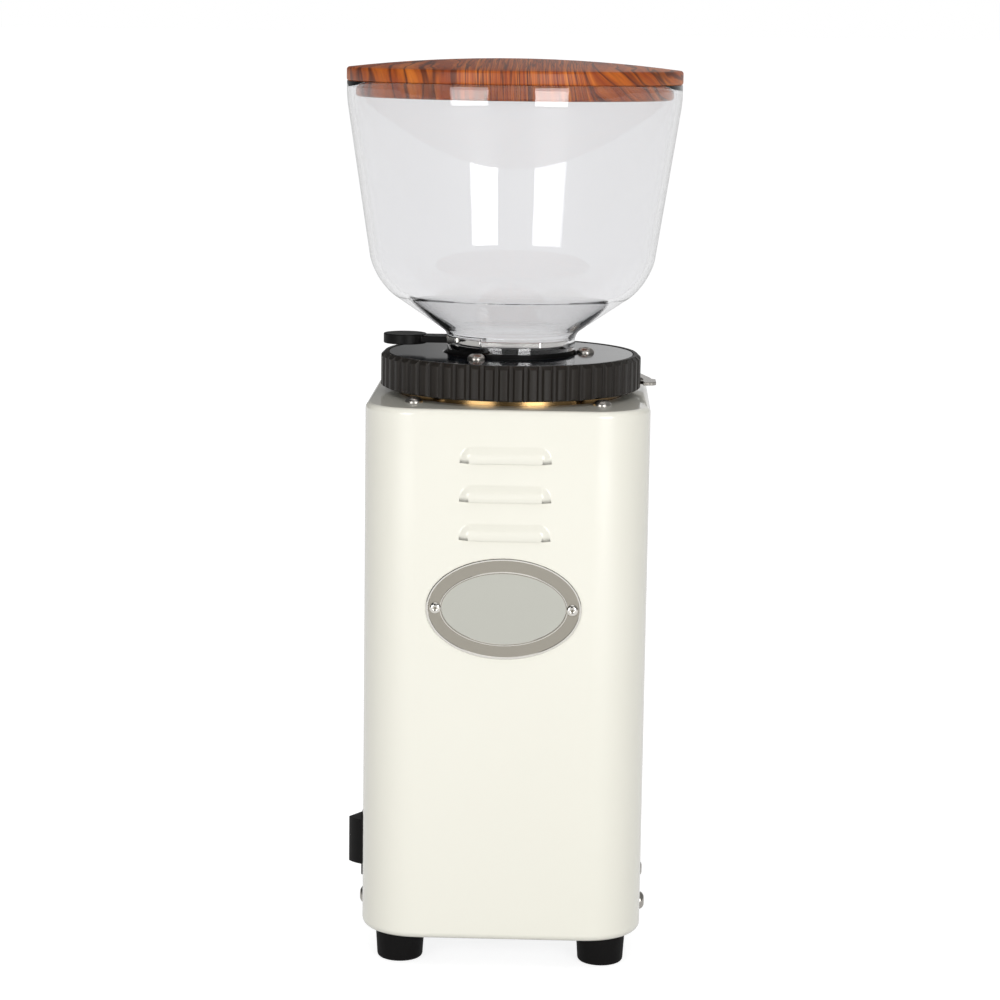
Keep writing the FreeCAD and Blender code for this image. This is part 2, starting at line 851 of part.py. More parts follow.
def upright_screws(label, x, y, z, length, roles, upside_down=False):
    """Screws about vertical axes, one drawn and the others mirrored from it."""
    body = new_body(label)
    sketch = new_sketch(body, "XZ_Plane", across=x, out="-(%s)" % y)
    outline = screw_outline(length)
    if upside_down:
        outline = tuple((v[0], "-(%s)" % v[1]) for v in reversed(outline))
    draw_outline(sketch, outline)
    first = turned(body, sketch)
    mirrored_pairs(body, [first], roles)
    return stand(body, z=z)


def facing_screws(label, x, y, z, length, roles):
    """Screws about axes along +Y, heads towards the spout side."""
    body = new_body(label)
    sketch = new_sketch(body, "YZ_Plane", across=y, out=x)
    draw_outline(sketch, lying(reversed(screw_outline(length))))
    first = turned(body, sketch, "H_Axis")
    mirrored_pairs(body, [first], roles)
    return stand(body, z=z)


def base_screws():
    body = new_body("base_screws")
    sketch = new_sketch(body, "XZ_Plane", across="body_width / 2", out="-side_screw_y")
    draw_outline(sketch, lying(reversed(screw_outline("screw_grip"))))
    first = turned(body, sketch, "H_Axis")
    mirrored_pairs(body, [first], ["XZ_Plane", "YZ_Plane"])
    return stand(body, z="foot_height + side_screw_z")


def cord_bush():
    outline = (
        ("cord_bore_radius", "-cord_flange_height"),
        ("cord_flange_radius", "-cord_flange_height"),
        ("cord_flange_radius", "0"),
        ("cord_neck_radius", "0"),
        ("cord_neck_radius", "cord_neck_height"),
        ("cord_bore_radius", "cord_neck_height"),
    )
    return turned_part("cord_bush", outline, PLATE_LOW, "0", "cord_y")


def oval_solid(label, half_width, half_height, gauge):
    edge = doc.addObject("Part::Ellipse", label + "_edge")
    bind(edge, "MajorRadius", half_width)
    bind(edge, "MinorRadius", half_height)
    solid = doc.addObject("Part::Extrusion", label)
    solid.Base = edge
    solid.DirMode = "Custom"
    solid.Dir = Vector(0, 0, 1)
    bind(solid, "LengthFwd", gauge)
    solid.Solid = True
    return solid


def cylinder(label, radius, height, x="0", y="0", z="0"):
    solid = doc.addObject("Part::Cylinder", label)
    bind(solid, "Radius", radius)
    bind(solid, "Height", height)
    bind(solid, "Placement.Base.x", x)
    bind(solid, "Placement.Base.y", y)
    bind(solid, "Placement.Base.z", z)
    return solid


def joined(kind, label, base, tools):
    """The base with other solids cut from it or fused to it, one after the other."""
    solid = base
    for number, tool in enumerate(tools, start=1):
        step = doc.addObject("Part::" + kind, "%s_%s%d" % (label, kind.lower(), number))
        step.Base = solid
        step.Tool = tool
        solid = step
    solid.Label = label
    return solid


def name_plate():
    """A bare oval plate with a raised border and two rivet holes."""
    blank = oval_solid("plate_blank", "plate_half_width", "plate_half_height", "plate_gauge")
    field = oval_solid(
        "plate_field",
        "plate_half_width - plate_border",
        "plate_half_height - plate_border_low",
        "plate_gauge",
    )
    bind(field, "Placement.Base.z", "plate_gauge - plate_recess")
    tools = [field]
    for side in ("", "-"):
        tools.append(cylinder("rivet_hole", "rivet_shank", "plate_gauge", side + "rivet_x"))
    plate = joined("Cut", "name_plate", blank, tools)
    turn = (Vector(1, 0, 0), "90")
    return stand(plate, y="-body_depth / 2", z="foot_height + plate_z", turn=turn)


def plate_rivets():
    """Two domed rivets through the plate and the rear face."""
    body = new_body("plate_rivets")
    sketch = new_sketch(body, "YZ_Plane", across="-body_depth / 2 - plate_gauge", out="rivet_x")
    outline = (
        ("0", "shell_wall + plate_gauge + rivet_height / 2"),
        ("rivet_shank", "shell_wall + plate_gauge + rivet_height / 2"),
        ("rivet_shank", "0"),
        ("rivet_radius", "0"),
        ("rivet_radius", "-rivet_height * " + DOME_SIDE_SHARE),
        ("rivet_radius * " + DOME_TOP_SHARE, "-rivet_height"),
        ("0", "-rivet_height"),
    )
    draw_outline(sketch, lying(outline))
    first = turned(body, sketch, "H_Axis")
    mirrored_pairs(body, [first], ["YZ_Plane"])
    return stand(body, z="foot_height + plate_z")


# Rocker switch


def switch_frame():
    body = new_body("switch_frame")
    face = "body_width / 2"
    bezel = new_sketch(body, "YZ_Plane", out="-" + face)
    draw_round_box(bezel, "bezel_length", "bezel_height", "bezel_corner", "switch_y")
    pad(body, bezel, "bezel_gauge", back=True)
    case = new_sketch(body, "YZ_Plane", out="-" + face)
    draw_round_box(case, SWITCH_LENGTH, SWITCH_HEIGHT, "bezel_corner", "switch_y")
    pad(body, case, "switch_depth")
    well = new_sketch(body, "YZ_Plane", out="-%s - cut_over" % face)
    draw_round_box(
        well,
        SWITCH_LENGTH + " - 2 * switch_wall",
        SWITCH_HEIGHT + " - 2 * switch_wall",
        "bezel_corner / 2",
        "switch_y",
    )
    pocket(body, well, "cut_over + switch_depth - switch_wall", along=True)
    pins = new_sketch(body, "XY_Plane")
    radius = "rocker_pin_radius + shaft_clear"
    draw_circle(pins, "-%s + rocker_pivot_depth" % face, "switch_y", radius)
    pocket(body, pins, SWITCH_HEIGHT + " + cut_over", both=True)
    return stand(body, z="foot_height + switch_z")


def switch_rocker():
    """The rocker about its pin, a shallow V with round ends, tipped towards the rear."""
    body = new_body("switch_rocker")
    profile = new_sketch(body, "XY_Plane")
    inner = "sqrt(%s ^ 2 - rocker_foot ^ 2)" % ROCKER_RADIUS
    draw_outline(
        profile,
        (
            ("-rocker_mid", "0"),
            ("-" + ROCKER_TIP, "rocker_half_length", ROCKER_RADIUS, -1),
            ("rocker_foot", inner),
            ("rocker_foot", "-" + inner, ROCKER_RADIUS, -1),
            ("-" + ROCKER_TIP, "-rocker_half_length"),
        ),
    )
    pad(body, profile, "rocker_height", both=True)
    pin = new_sketch(body, "XY_Plane")
    draw_circle(pin, "0", "0", "rocker_pin_radius")
    pad(body, pin, "rocker_height + 2 * (rocker_clear + rocker_pin_reach)", both=True)
    turn = (Vector(0, 0, 1), "-rocker_tilt")
    x = "-body_width / 2 + rocker_pivot_depth"
    return stand(body, x, "switch_y", "foot_height + switch_z", turn)


# Electrical parts on the base


def run_capacitor():
    body = new_body("run_capacitor")
    sketch = new_sketch(body, "XZ_Plane")
    half = "capacitor_length / 2"
    edge = "capacitor_radius - clip_gauge"
    post = "capacitor_radius * " + TERMINAL_SHARE
    post_end = half + " + clip_gauge * " + TERMINAL_LENGTH_SHARE
    outline = (
        ("0", "-" + half),
        (edge, "-" + half),
        ("capacitor_radius", "-%s + clip_gauge" % half),
        ("capacitor_radius", "%s - clip_gauge" % half),
        (edge, half),
        (post, half),
        (post, post_end),
        ("0", post_end),
    )
    draw_outline(sketch, lying(outline))
    turned(body, sketch, "H_Axis")
    z = PLATE_TOP + " + clip_gauge + capacitor_radius"
    return stand(body, "0", "capacitor_y", z)


def capacitor_clip():
    """A strap round the capacitor on a flat foot."""
    body = new_body("capacitor_clip")
    foot_sketch = new_sketch(body, "YZ_Plane")
    reach = "capacitor_radius + clip_foot - clip_gauge * " + CLIP_TUCK_SHARE
    low = "-capacitor_radius - clip_gauge"
    draw_box(foot_sketch, "-%s" % reach, low, reach, "-capacitor_radius")
    pad(body, foot_sketch, "clip_width", both=True)
    strap = new_sketch(body, "YZ_Plane")
    draw_circle(strap, "0", "0", "capacitor_radius + clip_gauge")
    pad(body, strap, "clip_width", both=True)
    hole = new_sketch(body, "YZ_Plane")
    draw_circle(hole, "0", "0", "capacitor_radius")
    pocket(body, hole, "clip_width + cut_over", both=True)
    z = PLATE_TOP + " + clip_gauge + capacitor_radius"
    return stand(body, "0", "capacitor_y", z)


def terminal_block():
    body = new_body("terminal_block")
    outline = new_sketch(body, "XY_Plane")
    draw_round_box(outline, "block_length", "block_depth", "block_bore")
    pad(body, outline, "block_height")
    wires = new_sketch(body, "XZ_Plane")
    for place in ("-block_pitch", "0", "block_pitch"):
        draw_circle(wires, place, "block_height * " + WIRE_SHARE, "block_bore")
    pocket(body, wires, "block_depth + cut_over", both=True)
    clamps = new_sketch(body, "XY_Plane", out="block_height + cut_over")
    for place in ("-block_pitch", "0", "block_pitch"):
        draw_circle(clamps, place, "0", "block_bore * " + CLAMP_SHARE)
    pocket(body, clamps, "block_height / 2 + cut_over")
    return stand(body, "block_x", "block_y", PLATE_TOP)


# Motor


def bell(label, z, turn=None):
    """An end bell: a round-cornered cup with a bearing seat, its open side down."""
    body = new_body(label)
    block = new_sketch(body, "XY_Plane")
    draw_round_box(block, "stack_side", "stack_side", "stack_corner")
    pad(body, block, "bell_height")
    hollow = new_sketch(body, "XY_Plane", out="-cut_over")
    draw_circle(hollow, "0", "0", "winding_outer + cut_over")
    pocket(body, hollow, "bell_height - bell_wall + cut_over", along=True)
    seat = new_sketch(body, "XY_Plane", out="bell_height - bell_wall - bearing_height")
    draw_circle(seat, "0", "0", "bearing_radius + bearing_seat_wall")
    pad(body, seat, "bearing_height")
    bore = new_sketch(body, "XY_Plane", out="-cut_over")
    draw_circle(bore, "0", "0", "bearing_radius")
    pocket(body, bore, "bell_height - bell_wall + cut_over", along=True)
    holes = new_sketch(body, "XY_Plane", out="-cut_over")
    draw_circle(holes, "0", "0", "shaft_radius + cut_over / 2")
    for side in ("", "-"):
        for end in ("", "-"):
            draw_circle(
                holes, side + "motor_bolt_x", end + "motor_bolt_x", "motor_bolt_radius"
            )
    pocket(body, holes, "bell_height + 2 * cut_over", along=True)
    return stand(body, z=z, turn=turn)


def motor_stator():
    body = new_body("motor_stator")
    outline = new_sketch(body, "XY_Plane")
    draw_round_box(outline, "stack_side", "stack_side", "stack_corner")
    pad(body, outline, "stack_height")
    holes = new_sketch(body, "XY_Plane", out="-cut_over")
    draw_circle(holes, "0", "0", "stator_bore")
    for side in ("", "-"):
        for end in ("", "-"):
            draw_circle(
                holes, side + "motor_bolt_x", end + "motor_bolt_x", "motor_bolt_radius"
            )
    pocket(body, holes, "stack_height + 2 * cut_over", along=True)
    return stand(body, z=STACK_LOW)


def motor_windings():
    """The two end turns, one above and one below the stack."""
    body = new_body("motor_windings")
    low = "stack_height / 2"
    high = "stack_height / 2 + winding_height"
    sketch = new_sketch(body, "XZ_Plane")
    corner = "winding_height * " + WINDING_CORNER_SHARE
    draw_outline(
        sketch,
        (
            ("winding_inner", low),
            ("winding_outer", low),
            ("winding_outer", "%s - %s" % (high, corner)),
            ("winding_outer - " + corner, high),
            ("winding_inner + " + corner, high),
            ("winding_inner", "%s - %s" % (high, corner)),
        ),
    )
    upper = turned(body, sketch)
    mirrored_pairs(body, [upper], ["XY_Plane"])
    return stand(body, z=STACK_LOW + " + stack_height / 2")


def motor_bolts():
    """Four through bolts, heads below, threaded into the chamber's floor."""
    body = new_body("motor_bolts")
    sketch = new_sketch(body, "XZ_Plane", across="motor_bolt_x", out="-motor_bolt_x")
    length = "2 * bell_height + stack_height + chamber_floor"
    draw_outline(
        sketch,
        (
            ("0", "-head_radius"),
            ("motor_bolt_head", "-head_radius"),
            ("motor_bolt_head", "0"),
            ("motor_bolt_radius", "0"),
            ("motor_bolt_radius", length),
            ("0", length),
        ),
    )
    first = turned(body, sketch)
    mirrored_pairs(body, [first], ["YZ_Plane", "XZ_Plane"])
    return stand(body, z=MOTOR_LOW)


def motor_shaft():
    low = "%s - fan_height - shaft_tail" % FAN_TOP
    seat = "%s - (%s)" % (LOWER_BURR, low)
    outline = (
        ("0", "0"),
        ("shaft_radius", "0"),
        ("shaft_radius", seat),
        ("nut_radius / 2", seat),
        ("nut_radius / 2", "%s + nut_height + screw_radius / 2" % seat),
        ("0", "%s + nut_height + screw_radius / 2" % seat),
    )
    return turned_part("motor_shaft", outline, low)


def cooling_fan():
    body = new_body("cooling_fan")
    hub = new_sketch(body, "XY_Plane")
    draw_circle(hub, "0", "0", "fan_hub")
    pad(body, hub, "fan_height")
    blade = new_sketch(body, "XY_Plane")
    lean = "fan_hub * " + BLADE_LEAN_SHARE
    root = "fan_hub * " + BLADE_ROOT_SHARE
    bow = "fan_radius * " + BLADE_BOW_SHARE
    draw_outline(
        blade,
        (
            (root, "-fan_blade / 2"),
            ("fan_radius", "-fan_blade / 2 + " + lean, bow, 1),
            ("fan_radius - fan_blade / 2", "fan_blade / 2 + " + lean),
            (root, "fan_blade / 2"),
        ),
    )
    first = pad(body, blade, "fan_height")
    polar(body, [first], "fan_count")
    bore = new_sketch(body, "XY_Plane", out="-cut_over")
    draw_circle(bore, "0", "0", "shaft_radius")
    pocket(body, bore, "fan_height + 2 * cut_over", along=True)
    return stand(body, z=FAN_TOP + " - fan_height")


# Grinding chamber


def burr_chamber():
    """The casting that hangs under the deck: cup, lugs for the deck screws, motor flange, port."""
    body = new_body("burr_chamber")
    cup = new_sketch(body, "XY_Plane")
    draw_circle(cup, "0", "0", "chamber_radius")
    pad(body, cup, "chamber_height")
    flange = new_sketch(body, "XY_Plane")
    draw_round_box(flange, "stack_side", "stack_side", "stack_corner")
    pad(body, flange, "chamber_floor")
    lugs = new_sketch(body, "XY_Plane", out="chamber_height - lug_gauge")
    draw_round_box(lugs, "lug_width", "lug_depth", "lug_corner")
    pad(body, lugs, "lug_gauge")
    spout = new_sketch(body, "XZ_Plane")
    port = "%s - %s" % (PORT_Z, CHAMBER_LOW)
    wall = " + 2 * port_wall"
    draw_round_box(spout, "port_width" + wall, "port_height" + wall, "port_wall", "0", port)
    pad(body, spout, "body_depth / 2 - shell_wall - fit_clear", back=True)
    cavity = new_sketch(body, "XY_Plane", out="chamber_floor")
    draw_circle(cavity, "0", "0", CAVITY_RADIUS)
    pocket(body, cavity, "chamber_height", along=True)
    duct = new_sketch(body, "XZ_Plane")
    draw_round_box(duct, "port_width", "port_height", "bezel_corner", "0", port)
    pocket(body, duct, "body_depth")
    holes = new_sketch(body, "XY_Plane", out="-cut_over")
    draw_circle(holes, "0", "0", "chamber_hub_bore")
    for side in ("", "-"):
        for end in ("", "-"):
            draw_circle(
                holes, side + "motor_bolt_x", end + "motor_bolt_x", "motor_bolt_radius"
            )
            draw_circle(holes, side + "deck_screw_x", end + "deck_screw_y", "screw_radius")
    pocket(body, holes, "chamber_height + 2 * cut_over", along=True)
    return stand(body, z=CHAMBER_LOW)


def burr_carrier():
    """The threaded carrier: burr seat below, throat, socket for the hopper's neck, flange."""
    body = new_body("burr_carrier")
    sketch = new_sketch(body, "XZ_Plane")
    thread = "ring_bore - shaft_clear"
    top = "%s - %s" % (FLANGE_TOP, CARRIER_LOW)
    floor = "%s - %s" % (SOCKET_FLOOR, CARRIER_LOW)
    draw_outline(
        sketch,
        (
            ("throat_radius", "0"),
            (thread, "0"),
            (thread, "%s - carrier_flange" % top),
            (FLANGE_RADIUS, "%s - carrier_flange" % top),
            (FLANGE_RADIUS, top),
            (SOCKET_RADIUS, top),
            (SOCKET_RADIUS, floor),
            ("neck_radius - hopper_wall", floor),
        ),
    )
    turned(body, sketch)
    disc_screw_holes(body, top, "carrier_flange")
    return stand(body, z=CARRIER_LOW)


def disc_screw_holes(body, top, depth):
    """Three blind or open holes for the disc's screws, from the top down."""
    holes = new_sketch(body, "XY_Plane", out=top)
    x = "disc_screw_circle * cos(disc_screw_turn)"
    y = "disc_screw_circle * sin(disc_screw_turn)"
    draw_circle(holes, x, y, "screw_radius")
    first = pocket(body, holes, depth)
    polar(body, [first], "disc_screw_count")


def burr(label, z, turn=None):
    """A flat burr, teeth up: fine slanted grooves at the rim and wide breaker grooves inside."""
    body = new_body(label)
    ring = new_sketch(body, "XY_Plane")
    draw_circle(ring, "0", "0", "burr_radius")
    pad(body, ring, "burr_thick")
    bore = new_sketch(body, "XY_Plane", out="-cut_over")
    draw_circle(bore, "0", "0", "burr_bore")
    pocket(body, bore, "burr_thick + 2 * cut_over", along=True)
    fine = new_sketch(body, "XY_Plane", out="burr_thick")
    draw_outline(
        fine,
        (
            ("breaker_radius", "tooth_slant"),
            ("burr_radius + cut_over", "0"),
            ("burr_radius + cut_over", "tooth_width"),
            ("breaker_radius", "tooth_slant + tooth_width / 2"),
        ),
    )
    groove = pocket(body, fine, "tooth_depth")
    polar(body, [groove], "tooth_count")
    wide = new_sketch(body, "XY_Plane", out="burr_thick")
    draw_outline(
        wide,
        (
            ("burr_bore - cut_over", "0"),
            ("breaker_radius + cut_over / 2", "tooth_slant"),
            ("breaker_radius + cut_over / 2", "tooth_slant + breaker_width / 2"),
            ("burr_bore - cut_over", "breaker_width"),
        ),
    )
    breaker = pocket(body, wide, "breaker_depth")
    polar(body, [breaker], "breaker_count")
    return stand(body, z=z, turn=turn)


def sweeper_carrier():
    """The lower burr's carrier on the shaft, with vanes that push the grounds to the port."""
    body = new_body("sweeper_carrier")
    height = "hub_height + sweeper_thick"
    hub = new_sketch(body, "XY_Plane")
    draw_circle(hub, "0", "0", "hub_radius")
    pad(body, hub, height)
    disc = new_sketch(body, "XY_Plane", out="hub_height")
    draw_circle(disc, "0", "0", "sweeper_radius")
    pad(body, disc, "sweeper_thick")
    vane = new_sketch(body, "XY_Plane")
    reach = CAVITY_RADIUS + " - vane_clear"
    draw_box(vane, "hub_radius / 2", "-vane_width / 2", reach, "vane_width / 2")
    first = pad(body, vane, height)
    polar(body, [first], "vane_count")
    bore = new_sketch(body, "XY_Plane", out="-cut_over")
    draw_circle(bore, "0", "0", "shaft_radius")
    pocket(body, bore, height + " + 2 * cut_over", along=True)
    return stand(body, z=SWEEPER_LOW)


def burr_nut():
    body = new_body("burr_nut")
    flats = new_sketch(body, "XY_Plane")
    corners = [("nut_radius * cos(%d)" % a, "nut_radius * sin(%d)" % a) for a in range(0, 360, 60)]
    draw_outline(flats, corners)
    pad(body, flats, "nut_height")
    bore = new_sketch(body, "XY_Plane", out="-cut_over")
    draw_circle(bore, "0", "0", "nut_radius / 2")
    pocket(body, bore, "nut_height + 2 * cut_over", along=True)
    return stand(body, z=LOWER_BURR)


# Adjusting collar and disc


def adjusting_collar():
    """The fluted ring: a turned section, then one flute cut through and repeated round it."""
    body = new_body("adjusting_collar")
    section = new_sketch(body, "XZ_Plane")
    seat = "collar_height - disc_sunk - disc_gauge"
    draw_outline(
        section,
        (
            (COLLAR_BORE, "0"),
            ("collar_radius - collar_low_chamfer", "0"),
            ("collar_radius", "collar_low_chamfer"),
            ("collar_radius", "collar_height - collar_top_chamfer"),
            ("collar_radius - collar_top_chamfer", "collar_height"),
            ("disc_radius + disc_seat_clear", "collar_height"),
            ("disc_radius + disc_seat_clear", seat),
            (FLANGE_RADIUS, seat),
            (FLANGE_RADIUS, seat + " - carrier_flange"),
            (COLLAR_BORE, seat + " - carrier_flange"),
        ),
    )
    turned(body, section)
    flute = new_sketch(body, "XY_Plane", out="-cut_over")
    draw_outline(
        flute,
        (
            ("collar_radius - flute_depth", "-flute_floor / 2"),
            ("collar_radius + cut_over", "-flute_mouth / 2"),
            ("collar_radius + cut_over", "flute_mouth / 2"),
            ("collar_radius - flute_depth", "flute_floor / 2"),
        ),
    )
    first = pocket(body, flute, "collar_height + 2 * cut_over", along=True)
    polar(body, [first], "flute_count")
    return stand(body, z=COLLAR_LOW)


def top_disc():
    body = new_body("top_disc")
    section = new_sketch(body, "XZ_Plane")
    edge = "disc_sunk"
    draw_outline(
        section,
        (
            (GASKET_RADIUS + " + shaft_clear", "0"),
            ("disc_radius", "0"),
            ("disc_radius", "disc_gauge - " + edge),
            ("disc_radius - " + edge, "disc_gauge"),
            (GASKET_RADIUS + " + shaft_clear", "disc_gauge"),
        ),
    )
    turned(body, section)
    disc_screw_holes(body, "disc_gauge", "disc_gauge")
    return stand(body, z=FLANGE_TOP)


def disc_screws():
    body = new_body("disc_screws")
    x = "disc_screw_circle * cos(disc_screw_turn)"
    y = "disc_screw_circle * sin(disc_screw_turn)"
    sketch = new_sketch(body, "XZ_Plane", across=x, out="-(%s)" % y)
    draw_outline(sketch, screw_outline("disc_gauge + carrier_flange"))
    first = turned(body, sketch)
    polar(body, [first], "disc_screw_count")
    return stand(body, z=DISC_TOP)


# Hopper, shutter and lid


def hopper():
    """The clear bowl: neck, funnel, tapered wall and rim with one wall, and a slot in the neck."""
    body = new_body("hopper")
    section = new_sketch(body, "XZ_Plane")
    funnel = "neck_length + funnel_rise"
    draw_outline(
        section,
        (
            ("0", "0"),
            ("neck_radius", "0"),
            ("neck_radius", "neck_length"),
            ("knuckle_radius", funnel),
            ("bowl_radius", funnel + " + bowl_rise"),
            ("bowl_radius", HOPPER_TOP),
            ("0", HOPPER_TOP),
        ),
    )
    turned(body, section)

    def ring_at(height):
        return lambda edge: at_height(val(height), edge) and edge.Length > val("neck_radius")

    dress(body, "Fillet", "knuckle_round", ring_at(funnel))
    dress(body, "Fillet", "neck_round", ring_at("neck_length"))
    doc.recompute()
    base = body.Tip
    ends = []
    for number, face in enumerate(base.Shape.Faces, start=1):
        box = face.BoundBox
        if box.ZLength < NEAR:
            ends.append("Face%d" % number)
    shell = body.newObject("PartDesign::Thickness", "hopper_wall_feature")
    shell.Base = (base, ends)
    bind(shell, "Value", "hopper_wall")
    shell.Reversed = True
    shell.Join = "Intersection"
    body.Tip = shell
    slot = new_sketch(body, "XY_Plane", out="shutter_lift - fit_clear")
    draw_box(slot, "-neck_radius - cut_over", "-slot_half_width", "0", "slot_half_width")
    pocket(body, slot, "shutter_gauge + 2 * fit_clear", along=True)
    return stand(body, z=SOCKET_FLOOR)


def shutter():
    """A blade in the neck, cut straight at both sides, with an arm and a thumb disc on the left."""
    body = new_body("shutter")
    blade = new_sketch(body, "XY_Plane")
    reach = "(neck_radius - hopper_wall - fit_clear)"
    side = "(slot_half_width - fit_clear)"
    end = "sqrt(%s ^ 2 - %s ^ 2)" % (reach, side)
    draw_outline(
        blade,
        (
            ("-" + end, "-" + side),
            (end, "-" + side, reach, 1),
            (end, side),
            ("-" + end, side, reach, 1),
        ),
    )
    pad(body, blade, "shutter_gauge")
    arm = new_sketch(body, "XY_Plane")
    root = "sqrt(thumb_radius ^ 2 - (shutter_arm_width / 2) ^ 2)"
    draw_outline(
        arm,
        (
            ("-shutter_reach", "-thumb_radius"),
            ("-shutter_reach + " + root, "-shutter_arm_width / 2"),
            ("0", "-shutter_arm_width / 2"),
            ("0", "shutter_arm_width / 2"),
            ("-shutter_reach + " + root, "shutter_arm_width / 2"),
            ("-shutter_reach", "thumb_radius"),
        ),
    )
    pad(body, arm, "shutter_gauge")
    thumb = new_sketch(body, "XY_Plane", out="(shutter_gauge - thumb_gauge) / 2")
    draw_circle(thumb, "-shutter_reach", "0", "thumb_radius")
    pad(body, thumb, "thumb_gauge")
    return stand(body, z=SOCKET_FLOOR + " + shutter_lift")


def hopper_lid():
    """A domed wooden lid with a plug that drops into the bowl."""
    body = new_body("hopper_lid")
    section = new_sketch(body, "XZ_Plane")
    rise = "lid_edge + lid_crown"
    dome = "((%s ^ 2 + lid_crown ^ 2) / (2 * lid_crown))" % LID_RADIUS
    draw_outline(
        section,
        (
            ("0", "-plug_depth"),
            (PLUG_RADIUS + " - lid_edge_round", "-plug_depth"),
            (PLUG_RADIUS, "-plug_depth + lid_edge_round"),
            (PLUG_RADIUS, "0"),
            (LID_RADIUS, "0"),
            (LID_RADIUS, "lid_edge", dome, 1),
            ("0", rise),
        ),
    )
    turned(body, section)
    dress(body, "Fillet", "lid_edge_round", lambda e: at_height(val("lid_edge"), e))
    return stand(body, z="%s + %s" % (SOCKET_FLOOR, HOPPER_TOP))


# Latch of the collar


def collar_latch():
    """A flat lever about a post on the deck: eye, arm beside the collar, finger tab, tooth."""
    body = new_body("collar_latch")
    plate = new_sketch(body, "XY_Plane")
    eye_x = "latch_pivot_x"
    eye_y = "latch_pivot_y"
    tip = "sqrt((collar_radius + latch_clear) ^ 2 - tooth_tip_y ^ 2)"
    flare = "latch_arm * " + ARM_FLARE_SHARE
    neck = "latch_arm * " + ARM_NECK_SHARE
    waist = "latch_arm * " + ARM_WAIST_SHARE
    eye_side = "latch_eye * " + EYE_SIDE_SHARE
    eye_rise = "latch_eye * " + EYE_RISE_SHARE
    draw_outline(
        plate,
        (
            ("latch_inner", "latch_near"),
            ("latch_reach - latch_corner", "latch_near"),
            ("latch_reach", "latch_near + latch_corner"),
            ("latch_reach", "latch_far - latch_corner"),
            ("latch_reach - latch_corner", "latch_far"),
            ("latch_inner + " + flare, "latch_far + " + flare),
            (eye_x + " + " + eye_side, eye_y + " + " + eye_rise),
            (eye_x + " - " + eye_side, eye_y + " - " + eye_rise),
            ("latch_inner - " + neck, "latch_far + " + waist),
            ("latch_inner", "latch_far - latch_corner"),
            ("latch_inner", "tooth_tip_y + 2 * tooth_half"),
            (tip, "tooth_tip_y + tooth_half / 2"),
            (tip, "tooth_tip_y - tooth_half / 2"),
            ("latch_inner", "tooth_tip_y - 2 * tooth_half"),
        ),
    )
    pad(body, plate, "latch_gauge")
    eye = new_sketch(body, "XY_Plane")
    draw_circle(eye, eye_x, eye_y, "latch_eye")
    pad(body, eye, "latch_gauge")
    bore = new_sketch(body, "XY_Plane", out="-cut_over")
    draw_circle(bore, eye_x, eye_y, "pivot_radius + shaft_clear")
    pocket(body, bore, "latch_gauge + 2 * cut_over", along=True)
    return stand(body, z=DECK + " + latch_lift")


def latch_pivot():
    """A shouldered post through the deck: spacer, pin and head."""
    spacer = "latch_lift - latch_clear / 2"
    top = "latch_lift + latch_gauge + latch_clear / 2"
    outline = (
        ("0", "-shell_wall - screw_radius"),
        ("pivot_radius", "-shell_wall - screw_radius"),
        ("pivot_radius", "0"),
        ("latch_eye - latch_clear", "0"),
        ("latch_eye - latch_clear", spacer),
        ("pivot_radius", spacer),
        ("pivot_radius", top),
        ("head_radius", top),
        ("head_radius", top + " + head_shoulder"),
        (CROWN_SHARE + " * head_radius", top + " + head_height"),
        ("0", top + " + head_height"),
    )
    return turned_part("latch_pivot", outline, DECK, "latch_pivot_x", "latch_pivot_y")


# Spout side


def grounds_chute():
    """A flanged chute: out from the port and down to an open mouth."""
    body = new_body("grounds_chute")
    plate = new_sketch(body, "XZ_Plane", out="-" + FRONT)
    draw_round_box(plate, "chute_flange_width", "chute_flange_height", "fork_corner")
    pad(body, plate, "chute_flange_gauge", back=True)
    top = "chute_flange_height / 2 - chute_wall / 2"
    low = "-port_height / 2 - chute_wall"
    hood = new_sketch(body, "YZ_Plane")
    out = FRONT + " + chute_reach"
    draw_outline(
        hood,
        (
            (FRONT, low),
            (out + " - chute_mouth", low),
            (out + " - chute_mouth", "-chute_drop"),
            (out, "-chute_drop"),
            (out, top + " - chute_top_fall"),
            (out + " - chute_top_run", top),
            (FRONT, top),
        ),
    )
    pad(body, hood, "chute_width", both=True)
    side = val("chute_width") / 2
    roof = val(low)

    def roof_edge(edge):
        box = edge.BoundBox
        in_side = abs(abs(box.XMin) - side) < NEAR and box.XLength < NEAR
        clear_of_plate = box.YMax > val(FRONT + " + chute_flange_gauge") + NEAR
        return in_side and clear_of_plate and box.ZMax > roof + NEAR

    dress(body, "Fillet", "chute_round", roof_edge)
    duct = new_sketch(body, "YZ_Plane")
    draw_outline(
        duct,
        (
            (FRONT + " - cut_over", "-port_height / 2"),
            (out + " - chute_mouth + chute_wall", "-port_height / 2"),
            (out + " - chute_mouth + chute_wall", "-chute_drop - cut_over"),
            (out + " - chute_wall", "-chute_drop - cut_over"),
            (out + " - chute_wall", top + " - chute_top_fall - chute_wall / 2"),
            (out + " - chute_top_run - chute_wall / 2", "port_height / 2"),
            (FRONT + " - cut_over", "port_height / 2"),
        ),
    )
    pocket(body, duct, "chute_width - 2 * chute_wall", both=True)
    holes = new_sketch(body, "XZ_Plane", out="-%s + cut_over" % FRONT)
    draw_circle(holes, "chute_screw_x", "0", "screw_radius")
    draw_circle(holes, "-chute_screw_x", "0", "screw_radius")
    pocket(body, holes, "chute_flange_gauge + 2 * cut_over")
    return stand(body, z=PORT_Z)


